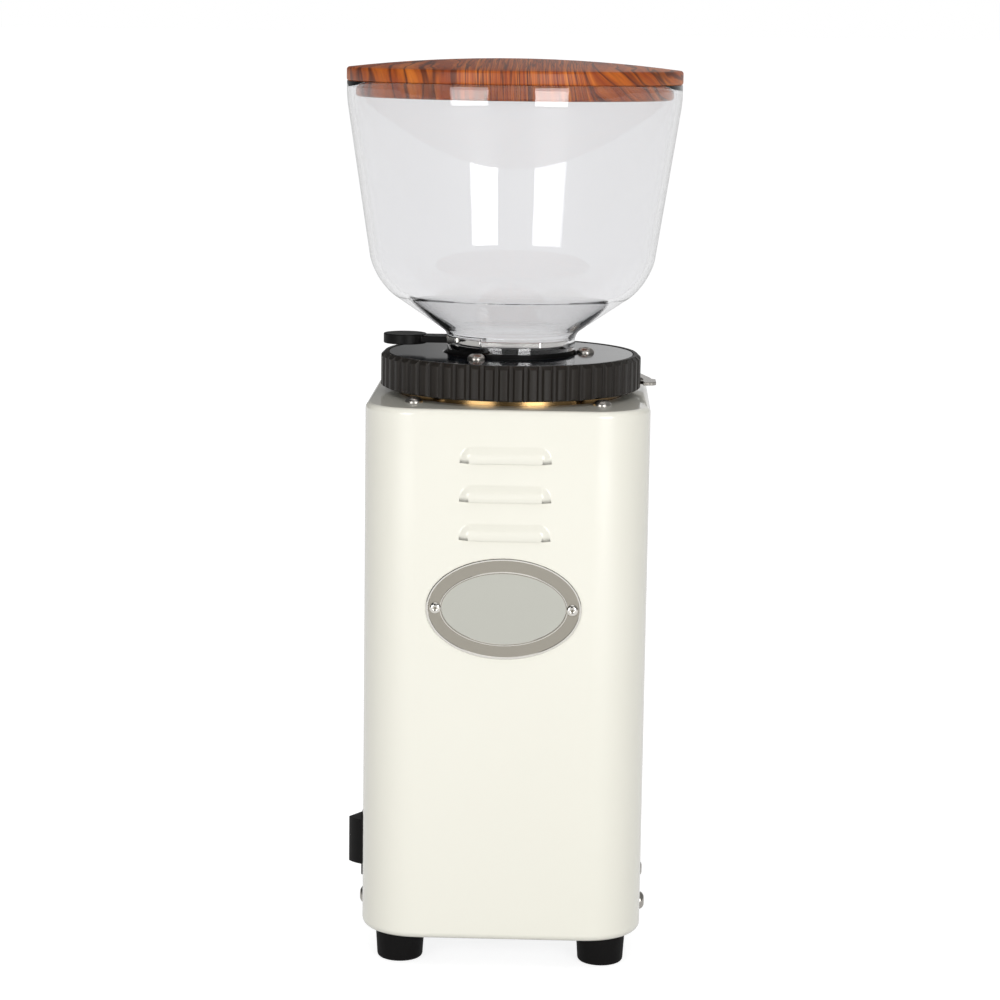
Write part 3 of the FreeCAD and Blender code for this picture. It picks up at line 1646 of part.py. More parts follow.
def filter_fork():
    """A bent steel fork: a skirt on the front face and a slotted plate with raised tips."""
    body = new_body("filter_fork")
    skirt = new_sketch(body, "XZ_Plane", out="-" + FRONT)
    draw_box(skirt, "-fork_width / 2", "-fork_skirt", "fork_width / 2", "fork_gauge")
    pad(body, skirt, "fork_gauge", back=True)
    plate = new_sketch(body, "XY_Plane")
    end = FRONT + " + fork_reach"
    centre = FRONT + " + fork_slot_y"
    draw_outline(
        plate,
        (
            ("-fork_width / 2", FRONT),
            ("fork_width / 2", FRONT),
            ("fork_width / 2", end),
            ("fork_slot_radius", end),
            ("fork_slot_radius", centre, "fork_slot_radius", -1),
            ("0", "%s - fork_slot_radius" % centre, "fork_slot_radius", -1),
            ("-fork_slot_radius", centre),
            ("-fork_slot_radius", end),
            ("-fork_width / 2", end),
        ),
    )
    pad(body, plate, "fork_gauge")
    tips = new_sketch(body, "XY_Plane", out="fork_gauge")
    draw_box(
        tips, "fork_slot_radius", "%s - fork_tip_length" % end, "fork_width / 2", end
    )
    tip = pad(body, tips, "fork_tip_rise")
    mirrored_pairs(body, [tip], ["YZ_Plane"])
    holes = new_sketch(body, "XZ_Plane", out="-%s + cut_over" % FRONT)
    draw_circle(holes, "fork_screw_x", "-fork_screw_drop", "screw_radius")
    draw_circle(holes, "-fork_screw_x", "-fork_screw_drop", "screw_radius")
    pocket(body, holes, "fork_gauge + 2 * cut_over")
    return stand(body, z="foot_height + fork_z")


def lying_tube(label, inner, outer, start, end, z):
    """A ring or rod about an axis along +Y, from start to end."""
    body = new_body(label)
    sketch = new_sketch(body, "YZ_Plane")
    corners = ((inner, start), (outer, start), (outer, end), (inner, end))
    draw_outline(sketch, lying(corners))
    turned(body, sketch, "H_Axis")
    return stand(body, z=z)


def start_button():
    """The cap that the filter holder pushes, with a collar behind the face."""
    body = new_body("start_button")
    sketch = new_sketch(body, "YZ_Plane")
    nose = FRONT + " + button_reach"
    back = FRONT + " - shell_wall - fit_clear"
    rear = back + " - button_collar"
    draw_outline(
        sketch,
        lying(
            (
                ("0", rear),
                ("button_radius + button_collar", rear),
                ("button_radius + button_collar", back),
                ("button_radius", back),
                ("button_radius", nose + " - button_edge"),
                ("button_radius - button_edge", nose),
                ("0", nose),
            )
        ),
    )
    turned(body, sketch, "H_Axis")
    return stand(body, z="foot_height + button_z")


def start_microswitch():
    """The small switch behind the button, on a bracket that reaches the front sheet."""
    body = new_body("start_microswitch")
    inside = FRONT + " - shell_wall"
    rear = "button_collar + button_travel + 3 * fit_clear + microswitch_depth"
    case = new_sketch(body, "XZ_Plane", out="-(%s) + %s" % (inside, rear))
    draw_box(
        case,
        "-microswitch_width / 2",
        "-microswitch_height / 2",
        "microswitch_width / 2",
        "microswitch_height / 2",
    )
    pad(body, case, "microswitch_depth", back=True)
    arm = new_sketch(body, "XZ_Plane", out="-(%s) + %s" % (inside, rear))
    draw_box(
        arm,
        "microswitch_width / 2 - bracket_gauge",
        "-microswitch_height / 2",
        "microswitch_width / 2",
        "microswitch_height / 2",
    )
    first = pad(body, arm, rear, back=True)
    mirrored_pairs(body, [first], ["YZ_Plane"])
    return stand(body, z="foot_height + button_z")


def tray_shelf():
    """A bent sheet under the base that carries the tray."""
    body = new_body("tray_shelf")
    profile = new_sketch(body, "YZ_Plane")
    step = FRONT + " - lip_width - fit_clear"
    draw_outline(
        profile,
        (
            ("shelf_inner", "0"),
            ("shelf_outer", "0"),
            ("shelf_outer", "shelf_gauge"),
            (step, "shelf_gauge"),
            (step, "shelf_gauge + shell_wall"),
            ("shelf_inner", "shelf_gauge + shell_wall"),
        ),
    )
    pad(body, profile, "shelf_width", both=True)
    return stand(body, z="foot_height - shelf_gauge")


def catch_tray():
    """A shallow open tray for spilt grounds."""
    body = new_body("catch_tray")
    outline = new_sketch(body, "XY_Plane")
    middle = FRONT + " + tray_gap + tray_depth / 2"
    draw_round_box(outline, "tray_width", "tray_depth", "tray_corner", "0", middle)
    pad(body, outline, "tray_height")
    inside = new_sketch(body, "XY_Plane", out="tray_wall")
    draw_round_box(
        inside,
        "tray_width - 2 * tray_wall",
        "tray_depth - 2 * tray_wall",
        "tray_corner - tray_wall",
        "0",
        middle,
    )
    pocket(body, inside, "tray_height", along=True)
    return stand(body, z="foot_height")


# The whole machine


def build():
    body_shell()
    base_plate()
    for end, y in (("rear", "-foot_y"), ("front", "foot_y")):
        for side, x in (("left", "-foot_x"), ("right", "foot_x")):
            foot("foot_%s_%s" % (end, side), x, y)
    foot_screw_length = "foot_height + shell_wall + base_gauge - foot_bore_depth + screw_radius"
    upright_screws(
        "foot_screws", "foot_x", "foot_y", "foot_bore_depth", foot_screw_length,
        ["YZ_Plane", "XZ_Plane"], upside_down=True,
    )
    base_screws()
    upright_screws(
        "chamber_screws", "deck_screw_x", "deck_screw_y", DECK, "shell_wall + lug_gauge",
        ["YZ_Plane", "XZ_Plane"],
    )
    cord_bush()
    name_plate()
    plate_rivets()
    switch_frame()
    switch_rocker()
    run_capacitor()
    capacitor_clip()
    terminal_block()
    bell("upper_bell", STACK_TOP)
    bell("lower_bell", STACK_LOW, (Vector(1, 0, 0), "180"))
    motor_stator()
    motor_windings()
    motor_bolts()
    motor_shaft()
    rotor_height = "stack_height + screw_radius * 2"
    tube_part(
        "motor_rotor", "shaft_radius", "stator_bore - rotor_gap", rotor_height,
        STACK_LOW + " - screw_radius",
    )
    bearing_bore = "shaft_radius + shaft_clear"
    tube_part(
        "upper_bearing", bearing_bore, "bearing_radius", "bearing_height",
        CHAMBER_LOW + " - bell_wall - bearing_height",
    )
    tube_part(
        "lower_bearing", bearing_bore, "bearing_radius", "bearing_height",
        MOTOR_LOW + " + bell_wall",
    )
    cooling_fan()
    burr_chamber()
    tube_part(
        "shaft_seal", bearing_bore, "chamber_hub_bore", "seal_height",
        CAVITY_FLOOR + " - seal_height",
    )
    tube_part("thread_ring", "ring_bore", "ring_radius", "ring_height", CHAMBER_TOP)
    burr_carrier()
    burr("lower_burr", LOWER_BURR)
    burr("upper_burr", UPPER_BURR + " + burr_thick", (Vector(1, 0, 0), "180"))
    sweeper_carrier()
    burr_nut()
    adjusting_collar()
    top_disc()
    disc_screws()
    tube_part(
        "neck_gasket", SOCKET_RADIUS, GASKET_RADIUS, "disc_gauge - gasket_sunk", FLANGE_TOP
    )
    hopper()
    shutter()
    hopper_lid()
    collar_latch()
    latch_pivot()
    grounds_chute()
    nut_length = "chute_flange_gauge + shell_wall + screw_radius"
    facing_screws(
        "chute_screws", "chute_screw_x", FRONT + " + chute_flange_gauge", PORT_Z, nut_length,
        ["YZ_Plane"],
    )
    filter_fork()
    facing_screws(
        "fork_screws", "fork_screw_x", FRONT + " + fork_gauge",
        "foot_height + fork_z - fork_screw_drop", "fork_gauge + shell_wall + screw_radius",
        ["YZ_Plane"],
    )
    start_button()
    lying_tube(
        "button_bezel", "button_radius + fit_clear", "button_radius + bezel_band",
        FRONT, FRONT + " + bezel_rise", "foot_height + button_z",
    )
    start_microswitch()
    tray_shelf()
    catch_tray()


def write_files():
    doc.recompute()
    for item in doc.Objects:
        bad = [word for word in item.State if word in ("Invalid", "Error")]
        if bad:
            raise RuntimeError("%s (%s) is %s" % (item.Label, item.Name, bad))
    for part in parts:
        if part.Shape.isNull() or not part.Shape.isValid():
            raise RuntimeError("%s has no valid shape" % part.Label)
    os.makedirs("parts", exist_ok=True)
    for part in parts:
        part.Shape.exportStep("parts/%s.step" % part.Label)
        box = part.Shape.BoundBox
        print(
            "%-20s %d solid(s) %10.1f mm3  X %7.2f %7.2f  Y %7.2f %7.2f  Z %7.2f %7.2f"
            % (
                part.Label,
                len(part.Shape.Solids),
                part.Shape.Volume,
                box.XMin,
                box.XMax,
                box.YMin,
                box.YMax,
                box.ZMin,
                box.ZMax,
            )
        )


build()
write_files()
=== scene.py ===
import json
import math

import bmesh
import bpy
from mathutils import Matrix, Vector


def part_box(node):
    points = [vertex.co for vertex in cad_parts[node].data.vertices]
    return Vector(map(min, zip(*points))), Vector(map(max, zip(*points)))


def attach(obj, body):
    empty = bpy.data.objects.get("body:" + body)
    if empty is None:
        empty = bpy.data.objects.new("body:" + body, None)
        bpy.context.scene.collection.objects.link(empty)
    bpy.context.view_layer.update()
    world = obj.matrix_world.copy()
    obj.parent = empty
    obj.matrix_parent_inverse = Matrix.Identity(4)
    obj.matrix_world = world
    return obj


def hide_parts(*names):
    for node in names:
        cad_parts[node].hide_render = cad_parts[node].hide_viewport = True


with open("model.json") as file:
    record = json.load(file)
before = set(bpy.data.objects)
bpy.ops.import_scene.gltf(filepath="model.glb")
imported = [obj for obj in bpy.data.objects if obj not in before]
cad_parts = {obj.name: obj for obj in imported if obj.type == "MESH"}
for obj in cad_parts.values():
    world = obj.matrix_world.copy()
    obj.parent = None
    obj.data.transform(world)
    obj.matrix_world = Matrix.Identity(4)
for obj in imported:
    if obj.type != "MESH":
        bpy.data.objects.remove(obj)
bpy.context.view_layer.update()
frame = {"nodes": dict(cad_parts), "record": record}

# %% [markdown]
# # Espresso grinder, seen from its louvred rear
#
# The machine is a slim enamelled housing with a fluted adjusting collar on its deck, a clear
# hopper on the collar and a wooden lid on the hopper. The engineering model gives every part,
# its size and its place. This script gives the parts their finishes, and makes anew the ones
# whose curves or small edges the eye rests on.
#
# Lengths are written in millimetres and multiplied by MM where they meet the scene, which is
# in metres. Heights and centres come from the boxes of the loaded parts, so that each new
# piece sits where the engineering model has it.

MM = 0.001


def span(node):
    """Lowest and highest corner of a part, in millimetres."""
    low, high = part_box(node)
    return low / MM, high / MM


disc_low, disc_high = span("top_disc")
AXIS = Vector(((disc_low.x + disc_high.x) / 2, (disc_low.y + disc_high.y) / 2, 0.0))
ORIGIN = Vector((0.0, 0.0, 0.0))
body_of = {
    node: body
    for body, nodes in frame["record"]["behaviour"]["bodies"].items()
    for node in nodes
}
print("burr axis at x %.2f, y %.2f mm" % (AXIS.x, AXIS.y), "with", len(body_of), "parts")

# %% [markdown]
# ## The camera
#
# The photograph was taken with a long lens from a little above the deck, which keeps the
# housing's sides almost parallel. The camera stands where the housing's edges, the deck's
# screws and the rings of the collar all fall on their places in the photograph. It turns a
# little to the left and carries a slight roll.

# %% Camera
LENS = 101.6
SENSOR = 36.0
CAMERA_SPOT = Vector((29.44, -1216.4, 395.0))
CAMERA_HEADING = 1.57
CAMERA_PITCH = 80.56
CAMERA_ROLL = 0.81

camera_data = bpy.data.cameras.new("photo_lens")
camera_data.lens = LENS
camera_data.sensor_width = SENSOR
camera = bpy.data.objects.new("photo_camera", camera_data)
bpy.context.scene.collection.objects.link(camera)
turn = (
    Matrix.Rotation(math.radians(CAMERA_HEADING), 4, "Z")
    @ Matrix.Rotation(math.radians(CAMERA_PITCH), 4, "X")
    @ Matrix.Rotation(math.radians(CAMERA_ROLL), 4, "Z")
)
camera.matrix_world = Matrix.Translation((CAMERA_SPOT + AXIS) * MM) @ turn
bpy.context.scene.camera = camera
print("camera %.0f mm in front of the burr axis" % -CAMERA_SPOT.y)

# %% [markdown]
# ## Colours and shader nodes
#
# A colour is picked on a screen as a hex value, and the renderer wants it as linear light. One
# function does that turn for every material. A second small function adds any shader node: it
# sets the node's options, and gives each input either a value or the output that feeds it. A
# mixing node has inputs of one name for numbers and for colours, so the one in use is taken.

# %% Colour and node helpers
def linear(hex_colour):
    """A hex colour as linear red, green and blue, with an alpha of one."""
    values = [int(hex_colour[i : i + 2], 16) / 255 for i in (1, 3, 5)]
    light = [v / 12.92 if v <= 0.04045 else ((v + 0.055) / 1.055) ** 2.4 for v in values]
    return (*light, 1.0)


def in_use(sockets, name=None):
    """The socket of that name or number that the node's settings leave in use."""
    if isinstance(name, int):
        return sockets[name]
    return [s for s in sockets if s.enabled and name in (None, s.name)][0]


def add(tree, kind, inputs=None, **settings):
    """A shader node, such as Mix, with its settings. An input takes a value or a socket."""
    node = tree.nodes.new("ShaderNode" + kind)
    for name, value in settings.items():
        setattr(node, name, value)
    for name, value in (inputs or {}).items():
        socket = in_use(node.inputs, name)
        if isinstance(value, bpy.types.NodeSocket):
            tree.links.new(value, socket)
        else:
            socket.default_value = value
    return node


def worked_out(tree, operation, *values):
    """What a Math node makes of its values."""
    return add(tree, "Math", dict(enumerate(values)), operation=operation).outputs["Value"]


print("white #ffffff is", tuple(round(v, 2) for v in linear("#ffffff")[:3]))

# %% [markdown]
# ## What the finishes share
#
# Every finish is a principled material with a noise of a real size on it. As a fine grain it
# lifts the surface and varies its gloss, and in larger patches it varies the gloss or the colour
# alone. Two parts have two finishes that meet along an edge. These few functions make that, and
# each material below is left with what is its own.

# %% Finish helpers
def new_material(name, colour, roughness, metallic=0.0, **sockets):
    """A principled material; further sockets are named with underscores for spaces."""
    material = bpy.data.materials.new(name)
    material.use_nodes = True
    shader = material.node_tree.nodes["Principled BSDF"]
    shader.inputs["Base Color"].default_value = linear(colour)
    shader.inputs["Roughness"].default_value = roughness
    shader.inputs["Metallic"].default_value = metallic
    for socket, value in sockets.items():
        shader.inputs[socket.replace("_", " ")].default_value = value
    return material, material.node_tree, shader


def stretched(tree, x=1.0, y=1.0, z=1.0):
    """Object coordinates in metres, scaled along each axis."""
    coords = add(tree, "TexCoord")
    return add(
        tree, "Mapping", {"Vector": coords.outputs["Object"], "Scale": (x, y, z)}
    ).outputs["Vector"]


def dent(tree, shader, height, depth, strength=1.0):
    """A bump of the surface with a depth in millimetres."""
    bump = add(tree, "Bump", {"Height": height, "Distance": depth * MM, "Strength": strength})
    tree.links.new(bump.outputs["Normal"], shader.inputs["Normal"])


def grain(tree, shader, size, depth=None, rough=None, vector=None, detail=3.0):
    """A noise of one size in millimetres, which can lift the surface and vary its roughness."""
    noise = add(
        tree, "TexNoise",
        {"Vector": vector or stretched(tree), "Scale": 1 / (size * MM), "Detail": detail},
    )
    if depth:
        dent(tree, shader, noise.outputs["Fac"], depth)
    if rough:
        spread = add(
            tree, "MapRange",
            {"Value": noise.outputs["Fac"], "To Min": rough[0], "To Max": rough[1]},
        )
        tree.links.new(spread.outputs["Result"], shader.inputs["Roughness"])
    return noise.outputs["Fac"]


def two_tone(tree, shader, first, second, factor):
    """The base colour blended between two hex colours by a factor socket."""
    mix = add(
        tree, "Mix",
        {"Factor": factor, "A": linear(first), "B": linear(second)},
        data_type="RGBA",
    )
    tree.links.new(in_use(mix.outputs), shader.inputs["Base Color"])


def split_at(tree, axis, edge, below, above):
    """One shader below an edge along an object axis, in millimetres, and another above it."""
    place = add(tree, "SeparateXYZ", {"Vector": stretched(tree)})
    side = worked_out(tree, "GREATER_THAN", place.outputs[axis], edge * MM)
    mix = add(tree, "MixShader", {0: side, 1: below.outputs["BSDF"], 2: above.outputs["BSDF"]})
    tree.links.new(mix.outputs["Shader"], tree.nodes["Material Output"].inputs["Surface"])


print("helpers for grain, two tones and two finishes")

# %% [markdown]
# ## Enamel on the housing
#
# Cream enamel is sprayed on sheet steel and baked. It flows into a smooth, glossy coat with a
# very shallow orange peel, a wave about as long as the spray's droplets. The eye reads it in
# the soft edges of the lamps' reflections. The colour drifts a little over the sheet.

# %% Cream enamel
DRIFT = 90.0
PEEL = 1.6
PEEL_DEPTH = 0.0035

cream_enamel, tree, shader = new_material(
    "cream_baked_enamel", "#f3f1e5", 0.35, Coat_Weight=1.0, Coat_Roughness=0.05
)
drift = grain(tree, shader, size=DRIFT, detail=1.0)
two_tone(tree, shader, "#f5f3e7", "#f1efe2", drift)
grain(tree, shader, size=PEEL, depth=PEEL_DEPTH)
print(cream_enamel.name, "with an orange peel of", PEEL, "mm")

# %% [markdown]
# ## Black finishes
#
# Four blacks meet on this machine, and the eye tells them apart by gloss. The collar is
# aluminium, turned, milled and anodised: satin and a little brown, with fine upright marks. The
# disc on it is polished, and wiping has left it a little smeared. The rubber feet are matt. The
# switch and the lever of the shutter are moulded ABS with a fine spark-eroded grain. That grain
# is under a tenth of a millimetre on the real parts and is drawn coarser here so that it shows.
# The lever carries a blade of polished steel, which starts where the lever meets the neck.

# %% Anodised aluminium, polished disc, rubber and ABS
anodised_black, tree, shader = new_material(
    "black_anodised_aluminium", "#25211d", 0.36, Specular_IOR_Level=0.22
)
grain(tree, shader, size=0.45, depth=0.006, rough=(0.36, 0.5), vector=stretched(tree, z=0.15))

SMEAR = 14.0
# The black has a faint blue in it: a painted reflection of the dark bluish surroundings that the disc
# mirrors.
polished_black, tree, shader = new_material(
    "polished_black_disc", "#0d141c", 0.08, Specular_IOR_Level=0.55
)
grain(tree, shader, size=SMEAR, rough=(0.05, 0.13), detail=4.0)

black_rubber, tree, shader = new_material(
    "moulded_black_rubber", "#0e0d0d", 0.62, Specular_IOR_Level=0.12
)
grain(tree, shader, size=0.5, depth=0.02, rough=(0.55, 0.72))

black_abs, tree, shader = new_material("moulded_black_abs", "#0e0d0d", 0.42, Specular_IOR_Level=0.14)
grain(tree, shader, size=0.35, depth=0.008, rough=(0.36, 0.48))
print(anodised_black.name, polished_black.name, black_rubber.name, black_abs.name)

# %% Black lever on its polished blade
BLADE_START = -27.6

lever_and_blade, tree, shader = new_material(
    "black_lever_on_polished_blade", "#0e0d0d", 0.42, Specular_IOR_Level=0.14
)
grain(tree, shader, size=0.35, depth=0.008)
blade_steel = add(
    tree, "BsdfPrincipled",
    {"Base Color": linear("#cfcdc9"), "Metallic": 1.0, "Roughness": 0.1},
)
split_at(tree, "X", BLADE_START, shader, blade_steel)
print(lever_and_blade.name, "with steel from x", BLADE_START, "mm")

# %% [markdown]
# ## Bright metals
#
# Metals have no colour under their surface: the base colour is the colour of the reflection.
# Stainless screws are cold headed and tumbled, so they are bright with faint scratches. The
# brass ring is turned, and its fine rings stretch each highlight across them. The badge is
# nickel silver: polished beads, an etched grey border and a satin oval.

# %% Stainless steel, brass and nickel silver
stainless, tree, shader = new_material("tumbled_stainless_steel", "#b4b0aa", 0.28, 1.0)
grain(tree, shader, size=0.7, depth=0.004, rough=(0.22, 0.36))

# The brass is drawn much darker than bright brass: painted shade for the dim gap under the collar, where
# the ring is seen.
turned_brass, tree, shader = new_material("turned_brass", "#957a53", 0.2, 1.0)
rings = grain(tree, shader, size=0.6, depth=0.006, rough=(0.14, 0.26), vector=stretched(tree, z=5.0))
two_tone(tree, shader, "#9c7f56", "#856a43", rings)

bead_nickel, tree, shader = new_material("polished_nickel_silver", "#e2dfd8", 0.16, 1.0)
grain(tree, shader, size=0.5, depth=0.003)

etched_nickel, tree, shader = new_material("etched_nickel_border", "#9b968b", 0.5, 0.3)
grain(tree, shader, size=0.5, depth=0.015, rough=(0.42, 0.58))

satin_nickel, tree, shader = new_material("satin_nickel_field", "#bfbfb6", 0.4, 0.3)
grain(tree, shader, size=0.5, depth=0.004, rough=(0.32, 0.44), vector=stretched(tree, x=0.08))
print(stainless.name, turned_brass.name, bead_nickel.name, etched_nickel.name, satin_nickel.name)

# %% [markdown]
# ## Clear hopper plastic
#
# The hopper is moulded from a clear copolyester. Most light goes through it, a few percent
# mirror off each surface, and the thick wall bends the view behind it most where it is seen
# edge on: at the rims, the neck and the knee of the bowl. A trace of grey in the plastic makes
# the bowl a little darker than what is behind it. The foot of the neck takes a plain black
# finish up to a set height, which hides where it goes into the collar's disc.

# %% Clear copolyester with a black foot
HAZE = 25.0
BLACK_FOOT_TOP = 259.4

clear_plastic, tree, shader = new_material(
    "clear_copolyester", "#f7f7f8", 0.0, IOR=1.5, Transmission_Weight=1.0, Specular_IOR_Level=0.35
)
grain(tree, shader, size=HAZE, rough=(0.0, 0.02), detail=2.0)
# Below a set height the neck takes a plain black finish in place of the clear one.
black_neck_foot = add(
    tree, "BsdfPrincipled",
    {"Base Color": linear("#0e0d0d"), "Roughness": 0.5, "Specular IOR Level": 0.14},
)
split_at(tree, "Z", BLACK_FOOT_TOP, black_neck_foot, shader)
print(clear_plastic.name, "above the black foot, which ends at", BLACK_FOOT_TOP, "mm")

# %% [markdown]
# ## Olive wood
#
# Olive grows slowly and twists, so a turned disc of it shows dark veins between orange and
# honey, a few millimetres apart. They run through the disc from front to back, upright at its
# left and leaning at its right. So the wood's space is sheared sideways with height, bent by a
# slow noise, and drawn out along the grain.

# %% The space that the figure lies in
BEND = 30.0
WANDER = 10.0
LEAN_START = -25.0
LEAN_END = 35.0
LEFT_LEAN = 0.15
RIGHT_LEAN = 1.1
ALONG_GRAIN = 0.12
UPWARD = 0.1

olive_wood, tree, shader = new_material("oiled_olive_wood", "#a85420", 0.42, Specular_IOR_Level=0.5)
place = add(tree, "TexCoord").outputs["Object"]
across = add(tree, "SeparateXYZ", {"Vector": place})
lean = add(
    tree, "MapRange",
    {
        "Value": across.outputs["X"],
        "From Min": LEAN_START * MM,
        "From Max": LEAN_END * MM,
        "To Min": LEFT_LEAN,
        "To Max": RIGHT_LEAN,
    },
    interpolation_type="SMOOTHSTEP",
)
leaned = worked_out(
    tree, "MULTIPLY_ADD", across.outputs["Z"], lean.outputs["Result"], across.outputs["X"]
)
bend = add(tree, "TexNoise", {"Vector": place, "Scale": 1 / (BEND * MM), "Detail": 2.0})
bent = worked_out(tree, "MULTIPLY_ADD", bend.outputs["Fac"], WANDER * MM, leaned)
along = worked_out(tree, "MULTIPLY", across.outputs["Y"], ALONG_GRAIN)
upward = worked_out(tree, "MULTIPLY", across.outputs["Z"], UPWARD)
drawn_out = add(tree, "CombineXYZ", {"X": bent, "Y": along, "Z": upward}).outputs["Vector"]
print(olive_wood.name, "bends over", BEND, "mm")

# %% [markdown]
# A noise in that space gives the broad bands of colour. A second one has contours that run
# like veins, so each vein is where it passes through its middle value. Short pores are a third,
# and they both darken the wood and dent it. The disc is oiled and rubbed, which leaves a soft
# sheen.

# %% Bands of colour
BAND = 9.0
BAND_TONES = ((0.42, "#a0450d"), (0.54, "#bf5f13"), (0.66, "#d67824"))

bands = add(
    tree, "TexNoise",
    {"Vector": drawn_out, "Scale": 1 / (BAND * MM), "Detail": 5.0, "Roughness": 0.62},
)
tones = add(tree, "ValToRGB", {"Fac": bands.outputs["Fac"]})
ramp = tones.color_ramp
ramp.elements[0].position = 0.26
ramp.elements[0].color = linear("#7a2c07")
ramp.elements[1].position = 0.78
ramp.elements[1].color = linear("#e8984a")
for position, colour in BAND_TONES:
    ramp.elements.new(position).color = linear(colour)
print(len(ramp.elements), "tones of wood")

# %% Veins and pores
VEIN_GAP = 8.0
VEIN_CORE = 0.006
VEIN_EDGE = 0.055
VEIN_STRENGTH = 0.85
PORE = 0.9
PORE_DEPTH = 0.03

veins = add(
    tree, "TexNoise",
    {"Vector": drawn_out, "Scale": 1 / (VEIN_GAP * MM), "Detail": 2.0, "Roughness": 0.4},
)
off_middle = worked_out(tree, "SUBTRACT", veins.outputs["Fac"], 0.5)
away = worked_out(tree, "ABSOLUTE", off_middle)
vein_mask = add(
    tree, "MapRange",
    {
        "Value": away,
        "From Min": VEIN_CORE,
        "From Max": VEIN_EDGE,
        "To Min": VEIN_STRENGTH,
        "To Max": 0.0,
    },
    interpolation_type="SMOOTHSTEP",
)
veined = add(
    tree, "Mix",
    {"Factor": vein_mask.outputs["Result"], "A": tones.outputs["Color"], "B": linear("#54210b")},
    data_type="RGBA",
)
pores = add(tree, "TexNoise", {"Vector": drawn_out, "Scale": 1 / (PORE * MM), "Detail": 3.0})
pore_mask = add(
    tree, "MapRange",
    {"Value": pores.outputs["Fac"], "From Min": 0.36, "From Max": 0.5, "To Min": 0.6, "To Max": 1.0},
)
shade = add(
    tree, "Mix",
    {"Factor": 0.5, "A": in_use(veined.outputs), "B": pore_mask.outputs["Result"]},
    data_type="RGBA", blend_type="MULTIPLY",
)
tree.links.new(in_use(shade.outputs), shader.inputs["Base Color"])
dent(tree, shader, pores.outputs["Fac"], PORE_DEPTH, strength=0.6)
print("veins", VEIN_GAP, "mm apart")

# %% [markdown]
# ## Inside and spout-side finishes
#
# The parts inside the housing show through the louvres and when the machine is opened: cast
# aluminium, a stack of core sheets, varnished copper, ground and hardened steel, zinc-plated
# sheet and pale moulded plastic. On the spout side the chute is a polished casting, and the
# fork is powder coated with a fine pebble.

# %% Castings, steels and coatings
cast_aluminium, tree, shader = new_material("sand_blasted_cast_aluminium", "#b3b4b5", 0.5, 1.0)
grain(tree, shader, size=0.8, depth=0.03, rough=(0.42, 0.6))

ground_steel, tree, shader = new_material("ground_steel", "#bfc1c3", 0.22, 1.0)
grain(tree, shader, size=0.4, depth=0.004, rough=(0.16, 0.3), vector=stretched(tree, z=5.0))

tool_steel, tree, shader = new_material("hardened_tool_steel", "#8d9094", 0.3, 1.0)
grain(tree, shader, size=0.5, depth=0.01, rough=(0.24, 0.4))

pale_pbt, tree, shader = new_material("moulded_pale_pbt", "#c9cac6", 0.5)
grain(tree, shader, size=0.5, depth=0.01, rough=(0.44, 0.58))

polished_casting, tree, shader = new_material("polished_aluminium_casting", "#cfd0d1", 0.14, 1.0)
grain(tree, shader, size=6.0, depth=0.02, rough=(0.1, 0.2))

powder_coat, tree, shader = new_material("black_powder_coat", "#1c1c1c", 0.48)
grain(tree, shader, size=0.7, depth=0.025, rough=(0.42, 0.56))
print(cast_aluminium.name, ground_steel.name, tool_steel.name)
print(pale_pbt.name, polished_casting.name, powder_coat.name)

# %% Zinc sheet, core sheets and copper wire
SPANGLE = 9.0
CORE_SHEET = 1.5
CORE_SHEET_DEPTH = 0.05
WIRE = 1.2
WIRE_DEPTH = 0.25
WAVE_TURN = 6.28

zinc_sheet, tree, shader = new_material("zinc_plated_sheet", "#aeb0b2", 0.35, 1.0)
spangle = add(tree, "TexVoronoi", {"Vector": stretched(tree), "Scale": 1 / (SPANGLE * MM)})
spread = add(tree, "MapRange", {"Value": spangle.outputs["Distance"], "To Min": 0.28, "To Max": 0.44})
tree.links.new(spread.outputs["Result"], shader.inputs["Roughness"])

core_steel, tree, shader = new_material("stacked_core_sheets", "#5d6065", 0.45, 1.0)
sheets = add(
    tree, "TexWave",
    {"Vector": stretched(tree), "Scale": 1 / (CORE_SHEET * MM) / WAVE_TURN},
    bands_direction="Z",
)
dent(tree, shader, sheets.outputs["Fac"], CORE_SHEET_DEPTH)

copper_wire, tree, shader = new_material("varnished_copper_wire", "#93502a", 0.3, 0.8, Coat_Weight=0.6)
coords = add(tree, "TexCoord")
round_the_axis = add(tree, "Mapping", {"Vector": coords.outputs["Object"], "Location": -AXIS * MM})
strands = add(
    tree, "TexWave",
    {
        "Vector": round_the_axis.outputs["Vector"],
        "Scale": 1 / (WIRE * MM) / WAVE_TURN,
        "Distortion": 0.6,
    },
    wave_type="RINGS", rings_direction="Z",
)
dent(tree, shader, strands.outputs["Fac"], WIRE_DEPTH)
print(zinc_sheet.name, core_steel.name, copper_wire.name)

# %% [markdown]
# ## Which part has which finish
#
# Each finish is listed with the parts that wear it, and every part of the engineering model
# gets its own.

